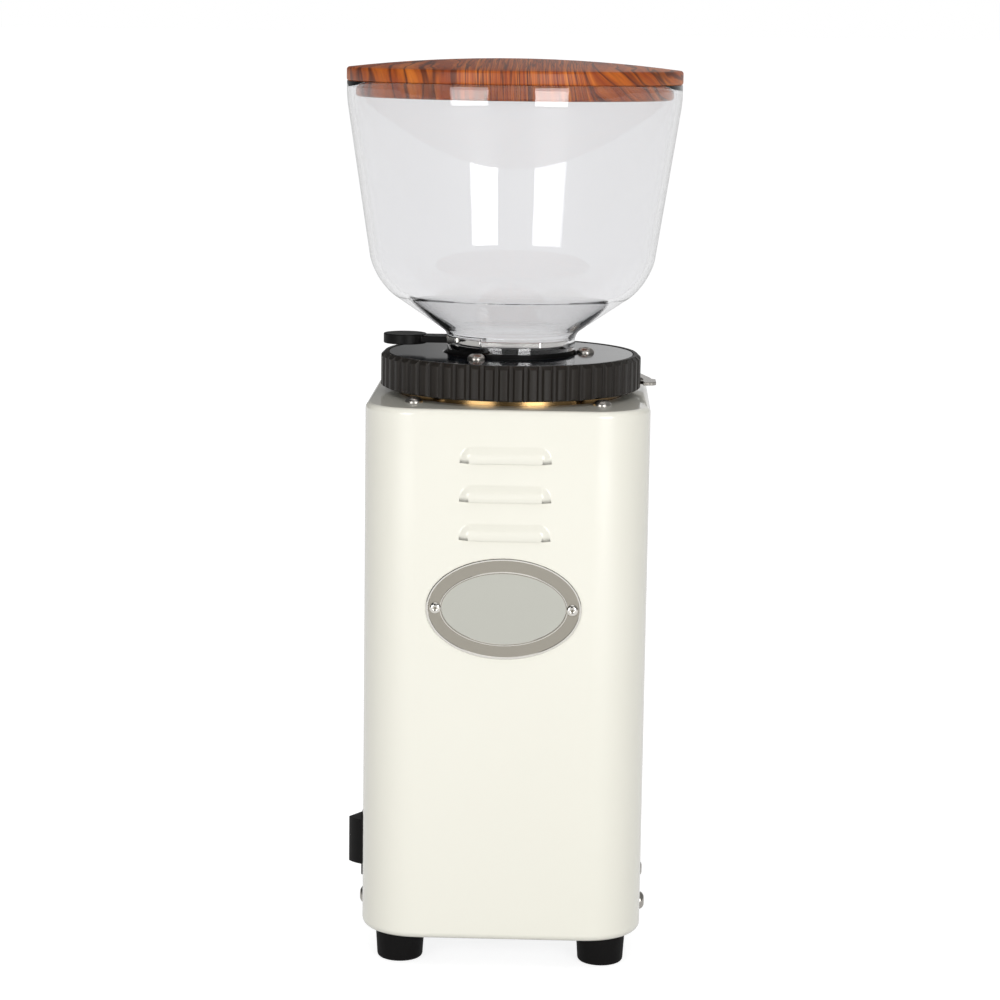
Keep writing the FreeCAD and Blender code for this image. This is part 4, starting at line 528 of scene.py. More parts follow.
# %% Finish of every part
worn_by = (
    (cream_enamel, "body_shell"),
    (zinc_sheet, "base_plate capacitor_clip tray_shelf"),
    (black_rubber, "foot_rear_left foot_rear_right foot_front_left foot_front_right"),
    (black_rubber, "cord_bush neck_gasket shaft_seal"),
    (stainless, "foot_screws base_screws chamber_screws disc_screws chute_screws fork_screws"),
    (stainless, "motor_bolts latch_pivot collar_latch button_bezel"),
    (bead_nickel, "plate_rivets"),
    (satin_nickel, "name_plate"),
    (black_abs, "switch_frame switch_rocker start_microswitch catch_tray cooling_fan"),
    (lever_and_blade, "shutter"),
    (pale_pbt, "terminal_block run_capacitor"),
    (cast_aluminium, "upper_bell lower_bell burr_chamber burr_carrier"),
    (core_steel, "motor_stator motor_rotor"),
    (copper_wire, "motor_windings"),
    (ground_steel, "motor_shaft upper_bearing lower_bearing burr_nut sweeper_carrier"),
    (tool_steel, "upper_burr lower_burr"),
    (polished_casting, "start_button grounds_chute"),
    (turned_brass, "thread_ring"),
    (anodised_black, "adjusting_collar"),
    (polished_black, "top_disc"),
    (clear_plastic, "hopper"),
    (olive_wood, "hopper_lid"),
    (powder_coat, "filter_fork"),
)
part_finish = {node: finish for finish, nodes in worn_by for node in nodes.split()}
for node, part in frame["nodes"].items():
    part.data.materials.clear()
    part.data.materials.append(part_finish[node])
print(len(part_finish), "parts have a finish")

# %% [markdown]
# ## From a bmesh to a piece
#
# Every new piece ends the same way. Faces are turned outwards, curved faces are shaded smooth
# up to an angle, and the piece takes the place of its engineering part on the same moving body.
#
# A round piece is turned, as on a lathe: a profile of a few points is spun about an axis, after
# the corners that should be soft are rounded by a vertex bevel. The bevel asks how far from the
# corner the arc starts, so that is worked out from the radius that is wanted.

# %% Piece and lathe
DOUBLES = 0.001


def new_piece(name, bm, materials, node, smooth=35.0):
    """An object of the bmesh that rides on the node's body in its place."""
    bmesh.ops.recalc_face_normals(bm, faces=bm.faces)
    mesh = bpy.data.meshes.new(name)
    bm.to_mesh(mesh)
    bm.free()
    for material in materials:
        mesh.materials.append(material)
    mesh.shade_smooth()
    mesh.set_sharp_from_angle(angle=math.radians(smooth))
    piece = bpy.data.objects.new(name, mesh)
    bpy.context.scene.collection.objects.link(piece)
    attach(piece, body_of[node])
    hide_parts(node)
    return piece


def corner_reach(profile, index, radius):
    """How far from a corner an arc of that radius starts: the bevel's offset."""
    here = Vector(profile[index])
    back = (Vector(profile[index - 1]) - here).normalized()
    on = (Vector(profile[(index + 1) % len(profile)]) - here).normalized()
    half = back.angle(on) / 2
    return radius / math.tan(half)


def lathe(profile, steps, rounds=(), centre=AXIS, closed=True):
    """Spin a profile of (radius, height) points in millimetres about a vertical axis.
    rounds gives (point's index, radius, segments) of the corners that are rounded."""
    bm = bmesh.new()
    points = [bm.verts.new((r * MM, 0.0, z * MM)) for r, z in profile]
    pairs = list(zip(points, points[1:]))
    if closed:
        pairs.append((points[-1], points[0]))
    for pair in pairs:
        bm.edges.new(pair)
    for index, radius, segments in rounds:
        bmesh.ops.bevel(
            bm,
            geom=[points[index]],
            affect="VERTICES",
            offset=corner_reach(profile, index, radius) * MM,
            segments=segments,
            profile=0.5,
            material=-1,
        )
    bmesh.ops.spin(
        bm,
        geom=bm.verts[:] + bm.edges[:],
        cent=ORIGIN,
        axis=(0, 0, 1),
        angle=math.tau,
        steps=steps,
        use_merge=True,
        use_duplicate=False,
    )
    bmesh.ops.remove_doubles(bm, verts=bm.verts, dist=DOUBLES * MM)
    bmesh.ops.translate(bm, vec=centre * MM, verts=bm.verts)
    return bm


print("a right angle's corner of 2 mm starts", round(corner_reach([(0, 0), (9, 0), (9, 9)], 1, 2.0), 1))

# %% [markdown]
# ## The hopper
#
# The bowl is moulded: a straight neck, a funnel, a soft knee, a wall that opens towards the
# top, and a short upright rim. A polygon cut from the engineering part would show its flats in
# every refraction, so the outside is spun from its profile in fine steps, with the bend under
# the rim so wide that the wall flows into it. Level cuts beside each bend hold the shading of
# the straight walls straight.

# %% Outside of the bowl
HOPPER_WALL = 2.8
NECK = 27.6
NECK_LENGTH = 20.4
FUNNEL_RISE = 22.0
KNUCKLE = 59.8
BOWL = 71.6
RIM = 7.4
LID_SEAT_GAP = 0.1
NECK_BEND = 5.0
KNEE_BEND = 26.0
RIM_BEND = 44.0
NECK_CUTS = (3, 6)
KNEE_CUTS = (-8, 13)
RIM_CUT = 3

hopper_low, hopper_high = span("hopper")
rim_z = hopper_high.z
neck_top = hopper_low.z + NECK_LENGTH
knuckle_z = neck_top + FUNNEL_RISE
outside = [
    (NECK, hopper_low.z),
    (NECK, neck_top),
    (KNUCKLE, knuckle_z),
    (BOWL, rim_z - RIM),
    (BOWL, rim_z - LID_SEAT_GAP),
]
bm = lathe(
    outside,
    steps=180,
    rounds=[(3, RIM_BEND, 12), (2, KNEE_BEND, 20), (1, NECK_BEND, 8)],
    closed=False,
)
print("bowl of", len(bm.faces), "faces from", len(outside), "points")

# %% [markdown]
# Two more level cuts bound the slot for the shutter's blade. The slot's faces are taken out
# before a Solidify modifier gives the skin its wall, because then the slot's edges get their
# wall too. The wall grows inwards and its sides follow the radius, so the slot's half width is
# measured where it is narrowest, on the inner wall.

# %% Slot and wall
BLADE_GAUGE = 2.8
SLOT_HALF_WIDTH = 21.7
FIT = 0.3
RIM_EDGE = 0.5

shutter_low, shutter_high = span("shutter")
slot_middle = (shutter_low.z + shutter_high.z) / 2
slot_low = slot_middle - BLADE_GAUGE / 2 - FIT
slot_high = slot_middle + BLADE_GAUGE / 2 + FIT
slot_half_angle = math.degrees(math.asin(SLOT_HALF_WIDTH / (NECK - HOPPER_WALL)))

cuts = [slot_low, slot_high]
cuts += [neck_top + step for step in NECK_CUTS]
cuts += [knuckle_z + step for step in KNEE_CUTS]
cuts += [rim_z - RIM - RIM_CUT, rim_z - RIM_CUT]
for height in cuts:
    bmesh.ops.bisect_plane(
        bm,
        geom=bm.verts[:] + bm.edges[:] + bm.faces[:],
        plane_co=(0, 0, height * MM),
        plane_no=(0, 0, 1),
    )
slot_faces = []
for face in bm.faces:
    middle = face.calc_center_median() / MM - AXIS
    beside = abs(math.degrees(math.atan2(middle.y, -middle.x)))
    if slot_low < middle.z < slot_high and beside < slot_half_angle:
        slot_faces.append(face)
bmesh.ops.delete(bm, geom=slot_faces, context="FACES")

hopper = new_piece("hopper_bowl", bm, [clear_plastic], "hopper", smooth=60.0)
wall = hopper.modifiers.new("moulded_wall", "SOLIDIFY")
wall.thickness = HOPPER_WALL * MM
wall.offset = -1.0
wall.use_even_offset = True
rim_round = hopper.modifiers.new("rim_round", "BEVEL")
rim_round.width = RIM_EDGE * MM
rim_round.segments = 2
rim_round.limit_method = "ANGLE"
rim_round.angle_limit = math.radians(60)
print("hopper slot cut from", len(slot_faces), "faces")

# %% [markdown]
# ## The lid
#
# The lid is turned from one disc: a shallow dome on top, an upright edge, and a plug that
# drops into the bowl. The dome falls away as the square of the distance from the middle, in a
# few steps that the smooth shading hides, and the corners are rounded as they would be sanded.

# %% Wooden lid
LID_EDGE = 71.69
LID_EDGE_HEIGHT = 5.7
CROWN_DROP = 4.4
CROWN_STEPS = 8
PLUG = 67.8

lid_low, lid_high = span("hopper_lid")
crown = [(0.0, lid_high.z)]
for step in range(1, CROWN_STEPS):
    share = step / CROWN_STEPS
    crown.append((LID_EDGE * share, lid_high.z - CROWN_DROP * share**2))
profile = [
    (0.0, lid_low.z),
    (PLUG, lid_low.z),
    (PLUG, rim_z),
    (LID_EDGE, rim_z),
    (LID_EDGE, rim_z + LID_EDGE_HEIGHT),
] + crown[::-1]
bm = lathe(profile, steps=144, rounds=[(4, 1.2, 4), (3, 0.8, 3), (1, 1.2, 3)])
new_piece("olive_wood_lid", bm, [olive_wood], "hopper_lid", smooth=40.0)
print("lid from %.1f to %.1f mm" % (lid_low.z, lid_high.z))

# %% [markdown]
# ## The fluted collar
#
# On the real part the flutes are milled into a turned ring whose edges were chamfered first,
# so each flute runs out through the chamfer. The plan is a circle with four points to a
# flute. Rotating and scaling those sets of points gives the grip its narrow grooves and wide
# crests.

# %% Plan of the flutes
FLUTES = 57
COLLAR = 56.2
GROOVE_DEPTH = 1.5
GROOVE_MOUTH = 3.0
GROOVE_FLOOR = 1.6

bm = bmesh.new()
bmesh.ops.create_circle(bm, radius=COLLAR * MM, segments=FLUTES * 4, cap_ends=False)
ring = sorted(bm.verts, key=lambda v: math.atan2(v.co.y, v.co.x) % math.tau)
pitch = math.tau / FLUTES
even = pitch / 4
crest_half = (math.tau * COLLAR / FLUTES - GROOVE_MOUTH) / COLLAR / 2
floor_half = GROOVE_FLOOR / COLLAR / 2
spots = (-floor_half, floor_half, pitch / 2 - crest_half, pitch / 2 + crest_half)
for corner, angle in enumerate(spots):
    members = ring[corner::4]
    bmesh.ops.rotate(
        bm, verts=members, cent=ORIGIN, matrix=Matrix.Rotation(angle - corner * even, 3, "Z")
    )
    if corner < 2:
        shrink = (COLLAR - GROOVE_DEPTH) / COLLAR
        bmesh.ops.scale(bm, verts=members, vec=(shrink, shrink, 1.0))
print(FLUTES, "flutes from", len(bm.verts), "points")

# %% [markdown]
# The wall is extruded from that outline, step by step, and closed with the ring's inside. The
# chamfer reaches a deep point later than a crest, so the wall's upper points are lifted by
# their own depth, and the lower ones the other way. Last, the upright edges of the grooves
# are rounded a little, where a cutter and a polishing wheel take the sharpness off.

# %% Wall of the collar
TOP_CHAMFER = 1.6
LOW_CHAMFER = 0.8
DISC_SEAT = 53.1
SEAT_DEPTH = 1.7
BORE = 49.4
FLOOR_RELIEF = 0.05
GROOVE_EDGE = 0.32
GRIP_INSIDE = 54.0
GRIP_LEAST_HEIGHT = 5.0


def step_up(bm, edges, height=None, radius=None, lift=None):
    """Extrude a loop of edges to a height or by a lift for each point, and if given to a radius."""
    made = bmesh.ops.extrude_edge_only(bm, edges=edges)["geom"]
    for vert in [g for g in made if isinstance(g, bmesh.types.BMVert)]:
        flat = math.hypot(vert.co.x, vert.co.y)
        if lift:
            vert.co.z = lift(flat / MM) * MM
        else:
            vert.co.z = height * MM
        if radius:
            vert.co.x *= radius * MM / flat
            vert.co.y *= radius * MM / flat
    return [g for g in made if isinstance(g, bmesh.types.BMEdge)]


collar_low, collar_high = span("adjusting_collar")
foot_z = collar_low.z
crest_z = collar_high.z
outline = bm.edges[:]
for vert in bm.verts:
    vert.co.z = (foot_z + max(0.0, LOW_CHAMFER - (COLLAR - vert.co.xy.length / MM))) * MM
under = step_up(bm, outline, foot_z, COLLAR - GROOVE_DEPTH - FLOOR_RELIEF)
inner = step_up(bm, under, foot_z, BORE)
inner = step_up(bm, inner, crest_z - SEAT_DEPTH, BORE)
wall_top = step_up(bm, outline, lift=lambda flat: crest_z - TOP_CHAMFER + (COLLAR - flat))
rim = step_up(bm, wall_top, crest_z, COLLAR - TOP_CHAMFER)
rim = step_up(bm, rim, crest_z, DISC_SEAT)
rim = step_up(bm, rim, crest_z - SEAT_DEPTH, DISC_SEAT)
bmesh.ops.bridge_loops(bm, edges=rim + inner)
upright = [
    e
    for e in bm.edges
    if len(e.link_faces) == 2
    and abs(e.verts[0].co.z - e.verts[1].co.z) > GRIP_LEAST_HEIGHT * MM
    and min(v.co.xy.length for v in e.verts) > GRIP_INSIDE * MM
]
bmesh.ops.bevel(
    bm, geom=upright, affect="EDGES", offset=GROOVE_EDGE * MM, segments=2, profile=0.5, material=-1
)
bmesh.ops.translate(bm, vec=AXIS * MM, verts=bm.verts)
collar = new_piece("fluted_collar", bm, [anodised_black], "adjusting_collar", smooth=40.0)
print("collar with", FLUTES, "flutes,", len(collar.data.polygons), "faces")

# %% [markdown]
# ## Disc, brass ring and gasket
#
# These are plain turned or moulded rings. What matters is their edges: the disc's outer
# chamfer takes bright stainless steel, a painted highlight for the thin bright line along it, the
# brass ring's edges are broken with a file, and the gasket is a soft ring. The painted highlight
# is only on the disc's outer edge, so its faces are picked by the way they look and how far out they are.

# %% Turned and moulded rings
DISC_CHAMFER = 0.35
DISC_INSIDE = 50.0
GASKET_GAP = 0.05
RING_BORE = 40.0
RING_EDGE = 48.3

gasket_low, gasket_high = span("neck_gasket")
gasket_edge = gasket_high.x - AXIS.x
disc_bore = gasket_edge + GASKET_GAP
disc_edge = disc_high.x - AXIS.x
disc_face = disc_high.z
bm = lathe(
    [
        (disc_bore, disc_low.z),
        (disc_edge, disc_low.z),
        (disc_edge, disc_face - DISC_CHAMFER),
        (disc_edge - DISC_CHAMFER, disc_face),
        (disc_bore + DISC_CHAMFER, disc_face),
        (disc_bore, disc_face - DISC_CHAMFER),
    ],
    steps=160,
)
# The outer chamfer's faces take stainless steel: a painted highlight, the bright line along the disc's
# edge.
for face in bm.faces:
    reach = (face.calc_center_median().xy - AXIS.xy * MM).length / MM
    slanted = face.normal.z > 0.3 and face.normal.z < 0.95
    face.material_index = int(slanted and reach > DISC_INSIDE)
new_piece("collar_disc", bm, [polished_black, stainless], "top_disc", smooth=20.0)

ring_low, ring_high = span("thread_ring")
bm = lathe(
    [
        (RING_BORE, ring_low.z),
        (RING_EDGE, ring_low.z),
        (RING_EDGE, ring_high.z),
        (RING_BORE, ring_high.z),
    ],
    steps=160,
    rounds=[(2, 0.6, 2), (3, 0.6, 2)],
)
new_piece("brass_thread_ring", bm, [turned_brass], "thread_ring")

bm = lathe(
    [
        (NECK + FIT, gasket_low.z),
        (gasket_edge, gasket_low.z),
        (gasket_edge, gasket_high.z),
        (NECK + FIT, gasket_high.z),
    ],
    steps=96,
    rounds=[(2, 0.3, 3), (3, 0.3, 3)],
)
new_piece("neck_seal", bm, [black_rubber], "neck_gasket")
print("disc of %.1f mm, brass ring of %.1f mm and gasket of %.1f mm" % (disc_edge, RING_EDGE, gasket_edge))

# %% [markdown]
# ## Feet
#
# A foot is moulded rubber: a cone that is widest where it meets the housing, a slim neck that
# goes through the base, and a well for the head of its screw. The edge that stands on the
# table is rounded, which gives each foot its soft line of shadow.

# %% Four rubber feet
FOOT_SCREW = 2.3
FOOT_BORE = 4.4
FOOT_BORE_TOP = 6.5
FOOT_NECK = 7.0
FOOT_TAPER = 0.8
HOUSING_FOOT = 13.0

for node in ("foot_rear_left", "foot_rear_right", "foot_front_left", "foot_front_right"):
    low, high = span(node)
    middle = (low + high) / 2
    wide = (high.x - low.x) / 2
    bm = lathe(
        [
            (FOOT_SCREW, high.z),
            (FOOT_SCREW, FOOT_BORE_TOP),
            (FOOT_BORE, FOOT_BORE_TOP),
            (FOOT_BORE, low.z),
            (wide - FOOT_TAPER, low.z),
            (wide, HOUSING_FOOT),
            (FOOT_NECK, HOUSING_FOOT),
            (FOOT_NECK, high.z),
        ],
        steps=64,
        rounds=[(4, 1.6, 5), (3, 0.5, 2)],
        centre=Vector((middle.x, middle.y, 0)),
    )
    new_piece(node + "_moulded", bm, [black_rubber], node)
print("feet %.1f mm wide" % (2 * wide))

# %% [markdown]
# ## Button-head screws
#
# The dome is spun from its side profile. The hex socket starts as a six-sided circle whose
# edges are divided until it has as many points as the dome's mouth, so the two loops bridge
# evenly, and the hexagon is then extruded down and filled.

# %% One screw
HEAD = 3.8
HEAD_HEIGHT = 2.2
SHANK = 2.0
HEX = 1.44
HEX_DEPTH = 1.3
MOUTH = HEX * 1.25
DOME = ((0.62, 0.93), (0.86, 0.66), (1.0, 0.3), (1.0, 0.0))
SCREW_STEPS = 24


def button_head(length):
    """A screw along +Z with its seat at zero. DOME gives shares of the head's radius and height."""
    profile = [(MOUTH, HEAD_HEIGHT)]
    profile += [(HEAD * out, HEAD_HEIGHT * up) for out, up in DOME]
    profile += [(SHANK, 0.0), (SHANK, -length), (0.0, -length)]
    bm = lathe(profile, steps=SCREW_STEPS, centre=ORIGIN, closed=False)
    mouth_edges = [
        e for e in bm.edges if e.is_boundary and min(v.co.z for v in e.verts) > 0.9 * HEAD_HEIGHT * MM
    ]
    hexagon = bmesh.ops.create_circle(bm, radius=HEX * MM, segments=6, cap_ends=False)["verts"]
    bmesh.ops.translate(bm, vec=(0, 0, HEAD_HEIGHT * MM), verts=hexagon)
    sides = list({e for v in hexagon for e in v.link_edges})
    bmesh.ops.subdivide_edges(bm, edges=sides, cuts=SCREW_STEPS // 6 - 1)
    sides = [
        e
        for e in bm.edges
        if not e.link_faces and max(v.co.xy.length for v in e.verts) < MOUTH * 0.97 * MM
    ]
    bmesh.ops.bridge_loops(bm, edges=mouth_edges + sides)
    made = bmesh.ops.extrude_edge_only(bm, edges=sides)["geom"]
    sunk = [g for g in made if isinstance(g, bmesh.types.BMVert)]
    bmesh.ops.translate(bm, vec=(0, 0, -HEX_DEPTH * MM), verts=sunk)
    bmesh.ops.holes_fill(bm, edges=[g for g in made if isinstance(g, bmesh.types.BMEdge)], sides=0)
    return bm


def repeated(template, places):
    """One bmesh with the template at each place."""
    bmesh.ops.recalc_face_normals(template, faces=template.faces)
    mesh = bpy.data.meshes.new("template")
    template.to_mesh(mesh)
    bm = bmesh.new()
    for place in places:
        count = len(bm.verts)
        bm.from_mesh(mesh)
        bm.verts.ensure_lookup_table()
        bmesh.ops.transform(bm, matrix=place, verts=bm.verts[count:])
    bpy.data.meshes.remove(mesh)
    return bm


print("heads of", 2 * HEAD, "mm with a", round(HEX * math.sqrt(3), 1), "mm socket")

# %% [markdown]
# The screws of a part sit at the corners of its box, less a head's radius. Those on the disc
# sit on a circle, a third of a turn apart. A head looks up, down, to the side or to the spout,
# and that direction turns the whole screw.

# %% Screws of six parts
SHANK_LENGTH = {
    "chamber_screws": 7.5,
    "foot_screws": 11.5,
    "disc_screws": 5.0,
    "base_screws": 4.0,
    "chute_screws": 6.5,
    "fork_screws": 7.5,
}
DISC_SCREW_CIRCLE = 32.3
DISC_SCREW_TURN = 4.4
UP = (0, 0, 1)
DOWN = (0, 0, -1)
LEFT = (-1, 0, 0)
RIGHT = (1, 0, 0)
SPOUTWARD = (0, 1, 0)


def screws(node, *groups):
    """Button-head screws of one part; a group is the way its heads look and its seats."""
    places = []
    for way, seats in groups:
        aim = Vector(way).to_track_quat("Z", "Y").to_matrix().to_4x4()
        places += [Matrix.Translation(Vector(seat) * MM) @ aim for seat in seats]
    new_piece(
        node + "_headed", repeated(button_head(SHANK_LENGTH[node]), places), [stainless], node
    )


def corners(node):
    """Middles of four upright screws, from the box of their part."""
    low, high = span(node)
    return [(x, y) for x in (low.x + HEAD, high.x - HEAD) for y in (low.y + HEAD, high.y - HEAD)]


low, high = span("chamber_screws")
screws("chamber_screws", (UP, [(x, y, high.z - HEAD_HEIGHT) for x, y in corners("chamber_screws")]))
low, high = span("foot_screws")
screws("foot_screws", (DOWN, [(x, y, low.z + HEAD_HEIGHT) for x, y in corners("foot_screws")]))

low, high = span("disc_screws")
seats = []
for third in range(3):
    angle = math.radians(DISC_SCREW_TURN + 120 * third)
    arm = Vector((math.cos(angle), math.sin(angle), 0)) * DISC_SCREW_CIRCLE
    seats.append(AXIS + arm + Vector((0, 0, high.z - HEAD_HEIGHT)))
screws("disc_screws", (UP, seats))

low, high = span("base_screws")
middle_z = (low.z + high.z) / 2
rows = (low.y + HEAD, high.y - HEAD)
screws(
    "base_screws",
    (LEFT, [(low.x + HEAD_HEIGHT, y, middle_z) for y in rows]),
    (RIGHT, [(high.x - HEAD_HEIGHT, y, middle_z) for y in rows]),
)

for node in ("chute_screws", "fork_screws"):
    low, high = span(node)
    middle_z = (low.z + high.z) / 2
    seats = [(x, high.y - HEAD_HEIGHT, middle_z) for x in (low.x + HEAD, high.x - HEAD)]
    screws(node, (SPOUTWARD, seats))
print("screws made for", len(SHANK_LENGTH), "parts")

# %% [markdown]
# ## The oval badge
#
# The badge is a stamped oval with a raised bead round its border and a second bead round its
# centre, which stays bare. The stamping is a stack of insets on one oval face, each with its
# own width and depth, and each band takes the finish of its zone.

# %% Badge
BEAD_HEIGHT = 0.2
BEAD, BORDER, FIELD = 0, 1, 2
STAMPING = (
    (0.30, BEAD_HEIGHT, BEAD),
    (0.55, 0.0, BEAD),
    (0.20, -BEAD_HEIGHT, BEAD),
    (4.55, 0.0, BORDER),
    (0.15, 0.15, BEAD),
    (0.30, 0.0, BEAD),
    (0.15, -0.15, BORDER),
    (0.25, 0.0, BORDER),
    (0.12, -0.10, BEAD),
)

plate_low, plate_high = span("name_plate")
plate_middle = (plate_low + plate_high) / 2
half_wide = (plate_high.x - plate_low.x) / 2
half_tall = (plate_high.z - plate_low.z) / 2
gauge = plate_high.y - plate_low.y

bm = bmesh.new()
bmesh.ops.create_circle(bm, radius=1.0, segments=128, cap_ends=True)
bmesh.ops.scale(bm, vec=(half_wide * MM, half_tall * MM, 1.0), verts=bm.verts)
raised = bmesh.ops.extrude_face_region(bm, geom=bm.faces[:])["geom"]
top_verts = [g for g in raised if isinstance(g, bmesh.types.BMVert)]
bmesh.ops.translate(bm, vec=(0, 0, (gauge - BEAD_HEIGHT) * MM), verts=top_verts)
field = [g for g in raised if isinstance(g, bmesh.types.BMFace)]
for width, depth, zone in STAMPING:
    band = bmesh.ops.inset_region(
        bm, faces=field, thickness=width * MM, depth=depth * MM, use_even_offset=True
    )["faces"]
    for strip in band:
        strip.material_index = zone
for inner_face in field:
    inner_face.material_index = FIELD
stand = Matrix.Rotation(math.radians(90), 4, "X")
plate_place = Matrix.Translation(Vector((plate_middle.x, plate_high.y, plate_middle.z)) * MM) @ stand
bmesh.ops.transform(bm, matrix=plate_place, verts=bm.verts)
new_piece("bare_oval_badge", bm, [bead_nickel, etched_nickel, satin_nickel], "name_plate", smooth=25.0)
print("badge %.1f by %.1f mm" % (2 * half_wide, 2 * half_tall))

# %% [markdown]
# Two hollow rivets hold the badge. Their domed heads roll over into an open middle, which
# shows dark, and their shanks go through the plate.

# %% Hollow rivets
RIVET = 2.5
HOLLOW = 0.55
HOLLOW_FLOOR = -0.6
RIVET_SHANK = 1.4
RIVET_LENGTH = 1.6

rivet_low, rivet_high = span("plate_rivets")
rivet = lathe(
    [
        (0.0, HOLLOW_FLOOR),
        (HOLLOW, HOLLOW_FLOOR),
        (HOLLOW, 0.62),
        (0.8, 0.85),
        (1.5, 0.8),
        (2.15, 0.5),
        (RIVET, 0.0),
        (RIVET_SHANK, 0.0),
        (RIVET_SHANK, -RIVET_LENGTH),
        (0.0, -RIVET_LENGTH),
    ],
    steps=32,
    centre=ORIGIN,
    closed=False,
)
places = [
    Matrix.Translation(Vector((x, plate_low.y, plate_middle.z)) * MM) @ stand
    for x in (rivet_low.x + RIVET, rivet_high.x - RIVET)
]
new_piece("hollow_rivets", repeated(rivet, places), [bead_nickel], "plate_rivets", smooth=50.0)
print("rivets %.1f mm apart" % (rivet_high.x - rivet_low.x - 2 * RIVET))

# %% [markdown]
# ## Parts whose edges are softened
#
# The rest keep their engineering shape, but its edges are knife sharp. No real edge is, and the
# bright line along an edge is what makes it look solid. So each of these is copied, welded,
# cleared of the cuts across its flat faces and given a small bevel: moulded parts get an edge
# of a few tenths of a millimetre, cast and bent ones a little more, and ground ones a little
# less. The Weighted Normal modifier then lets the large flat faces keep their own direction,
# so that the shading bends on the small edge faces alone. The housing's edges are rounded
# already and need only that.

# %% Soft edges
WELD = 0.002
FLAT = 0.6
SOFT_EDGE = {
    "body_shell": 0.0,
    "switch_frame": 0.5,
    "switch_rocker": 0.6,
    "shutter": 0.5,
    "collar_latch": 0.25,
    "latch_pivot": 0.3,
    "grounds_chute": 0.5,
    "filter_fork": 0.5,
    "start_button": 0.3,
    "button_bezel": 0.4,
    "tray_shelf": 0.3,
    "catch_tray": 0.4,
    "cord_bush": 0.4,
    "burr_carrier": 0.3,
}


def welded(node):
    """The part's surface as one skin, its flat faces whole."""
    bm = bmesh.new()
    bm.from_mesh(frame["nodes"][node].data)
    bmesh.ops.remove_doubles(bm, verts=bm.verts, dist=WELD * MM)
    bmesh.ops.dissolve_limit(bm, angle_limit=math.radians(FLAT), verts=bm.verts, edges=bm.edges)
    return bm


def softened(node, edge):
    """A copy of the part with its sharp edges rounded by a small bevel."""
    piece = new_piece(node + "_softened", welded(node), [part_finish[node]], node)
    if edge:
        bevel = piece.modifiers.new("edge_round", "BEVEL")
        bevel.width = edge * MM
        bevel.segments = 2
        bevel.limit_method = "ANGLE"
        bevel.angle_limit = math.radians(35)
    flats = piece.modifiers.new("flat_faces_first", "WEIGHTED_NORMAL")
    flats.keep_sharp = True


for node, edge in SOFT_EDGE.items():
    softened(node, edge)
print(len(SOFT_EDGE), "parts softened")

# %% [markdown]
# ## Table and sky
#
# The machine stands on a plain white table before a white sweep. The table ends a little over
# two metres in front, short of the camera's room, so that the front of the machine mirrors a
# dimmer studio there. The white of the background is the table's and the sky's own glow, and
# it has one level where the camera looks at them, a lower one where a mirror does, and one of
# its own through the clear bowl. So no lamp has to burn the object out to get the white.

# %% Levels by the kind of ray
def for_each_ray(tree, falling, mirrored, through, seen):
    """A strength that depends on how the light path got here: by scattering, by a mirror, through
    something clear or straight from the camera."""
    rays = add(tree, "LightPath")
    level = falling
    for ray, ray_level in (
        ("Is Glossy Ray", mirrored),
        ("Is Transmission Ray", through),
        ("Is Camera Ray", seen),
    ):
        mixed = add(
            tree, "Mix",
            {"Factor": rays.outputs[ray], "A": level, "B": ray_level},
            data_type="FLOAT",
        )
        level = in_use(mixed.outputs)
    return level


WHITE = (1, 1, 1, 1)
print("levels for falling, mirrored, refracted and seen light")

# %% White table
TABLE = 150.0
FRONT_EDGE = 2.2
TABLE_SEEN = 0.8
TABLE_MIRRORED = 0.45
TABLE_SEEN_THROUGH = 0.635

bm = bmesh.new()
bmesh.ops.create_grid(bm, x_segments=1, y_segments=1, size=TABLE)
bmesh.ops.translate(bm, vec=(0, TABLE - FRONT_EDGE, 0), verts=bm.verts)
mesh = bpy.data.meshes.new("white_table")
bm.to_mesh(mesh)
bm.free()
table = bpy.data.objects.new("white_table", mesh)
bpy.context.scene.collection.objects.link(table)
table_white = bpy.data.materials.new("matt_white_table")
table_white.use_nodes = True
tree = table_white.node_tree
tree.nodes.clear()
table_level = for_each_ray(tree, 0.0, TABLE_MIRRORED, TABLE_SEEN_THROUGH, TABLE_SEEN)
paint = add(tree, "BsdfDiffuse", {"Color": linear("#b4b4b4")})
glow = add(tree, "Emission", {"Color": WHITE, "Strength": table_level})
blend = add(tree, "AddShader", {0: paint.outputs["BSDF"], 1: glow.outputs["Emission"]})
add(tree, "OutputMaterial", {"Surface": blend.outputs["Shader"]})
table.data.materials.append(table_white)
print("table from", -FRONT_EDGE, "m backwards")

# %% [markdown]
# The sky fills the shadows a little, more from behind than from the camera's side. In a mirror
# it is dim in front, bright straight behind, and darker again to the left of the middle, which
# gives the polished disc its dark left side and its pale right one.

# %% White sweep
FRONT_FILL = 0.42
BACK_FILL = 0.85
FILL_START = -0.2
FILL_END = 0.8
FRONT_MIRRORED = 0.25
BACK_MIRRORED = 0.75
MIRRORED_START = 0.7
MIRRORED_END = 1.02
LEFT_SHARE = 0.25
LEFT_START = -0.075
LEFT_END = 0.02
SEEN_THROUGH = 0.85

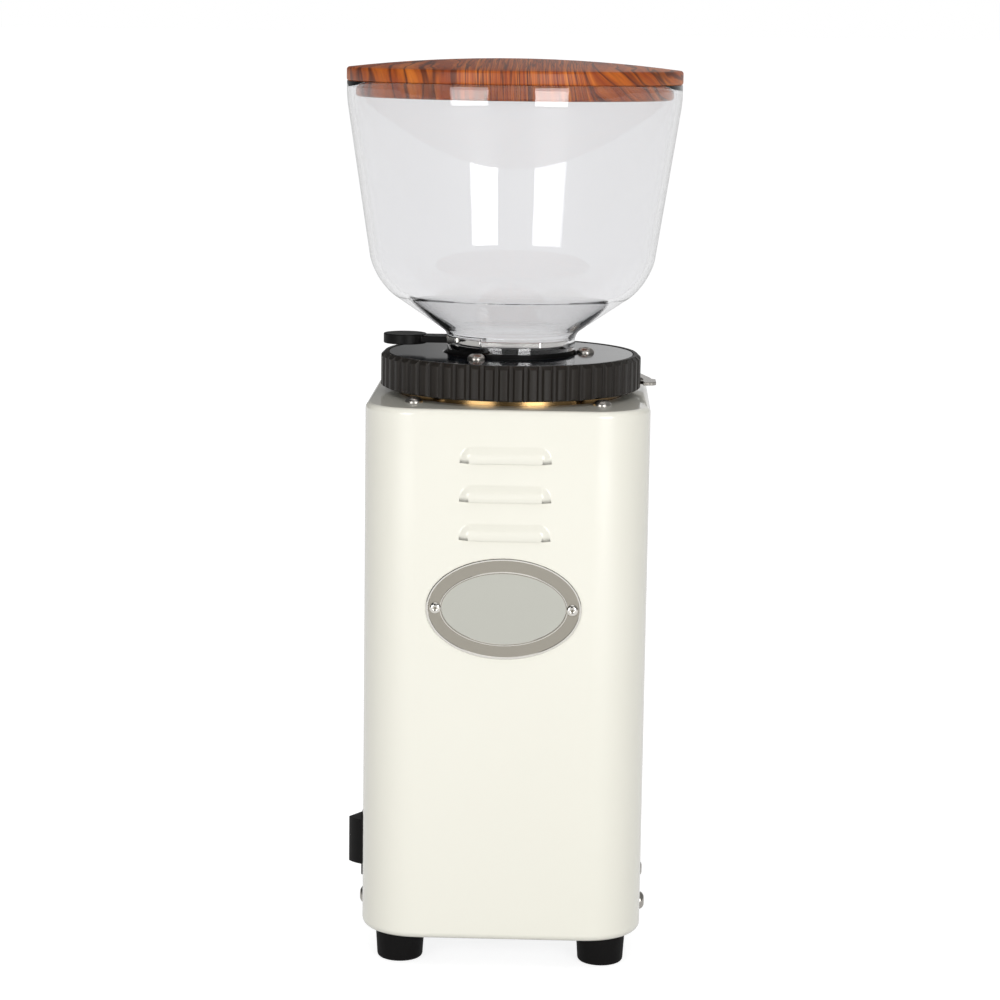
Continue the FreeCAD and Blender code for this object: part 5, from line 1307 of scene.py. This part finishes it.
world = bpy.data.worlds.new("white_sweep")
bpy.context.scene.world = world
world.use_nodes = True
tree = world.node_tree
tree.nodes.clear()
coords = add(tree, "TexCoord")
direction = add(tree, "SeparateXYZ", {"Vector": coords.outputs["Generated"]})
levels = []
for axis, start, end, first, last in (
    ("Y", MIRRORED_START, MIRRORED_END, FRONT_MIRRORED, BACK_MIRRORED),
    ("X", LEFT_START, LEFT_END, LEFT_SHARE, 1.0),
    ("Y", FILL_START, FILL_END, FRONT_FILL, BACK_FILL),
):
    fade = add(
        tree, "MapRange",
        {
            "Value": direction.outputs[axis],
            "From Min": start,
            "From Max": end,
            "To Min": first,
            "To Max": last,
        },
        interpolation_type="SMOOTHSTEP",
    )
    levels.append(fade.outputs["Result"])
behind, aside, fill = levels
mirrored = worked_out(tree, "MULTIPLY", behind, aside)
sky_level = for_each_ray(tree, fill, mirrored, SEEN_THROUGH, 1.0)
sky = add(tree, "Background", {"Color": WHITE, "Strength": sky_level})
add(tree, "OutputWorld", {"Surface": sky.outputs["Background"]})
print("sky fills with", FRONT_FILL, "in front and", BACK_FILL, "behind")

# %% [markdown]
# ## Lamps
#
# Two tall soft windows beside the camera draw the upright highlights on the bowl, the lid's
# plug and the housing. Their places were found by following the view off the bowl, so that
# both fall where the photograph has them. A broad, weak panel overhead fills the deck.

# %% Softboxes
LAMP_AIM = Vector((0, 0, 250))


def softbox(name, azimuth, elevation, distance, width, height, watts):
    """A rectangular area lamp that looks at a point on the burr axis. Azimuth 0 is the camera's
    side and grows towards +X."""
    side = math.radians(azimuth)
    lift = math.radians(elevation)
    spot = Vector((math.sin(side) * math.cos(lift), -math.cos(side) * math.cos(lift), math.sin(lift)))
    lamp = bpy.data.lights.new(name, "AREA")
    lamp.shape = "RECTANGLE"
    lamp.size = width * MM
    lamp.size_y = height * MM
    lamp.energy = watts
    holder = bpy.data.objects.new(name, lamp)
    holder.matrix_world = (
        Matrix.Translation((AXIS + LAMP_AIM + spot * distance) * MM)
        @ spot.to_track_quat("Z", "Y").to_matrix().to_4x4()
    )
    bpy.context.scene.collection.objects.link(holder)


softbox("left_window", -29, 5.6, distance=1500, width=680, height=675, watts=6.8)
softbox("right_window", 26, 5.6, distance=1500, width=590, height=675, watts=8.7)
softbox("overhead_panel", 0, 78, distance=1600, width=1400, height=1100, watts=4)

bpy.context.scene.view_settings.view_transform = "Standard"
print("two windows and an overhead panel")

# %% [markdown]
# ## The end

# The dressed model has to stay inside the engineering model's box.

# %% End of the scene
print("end of the scene")
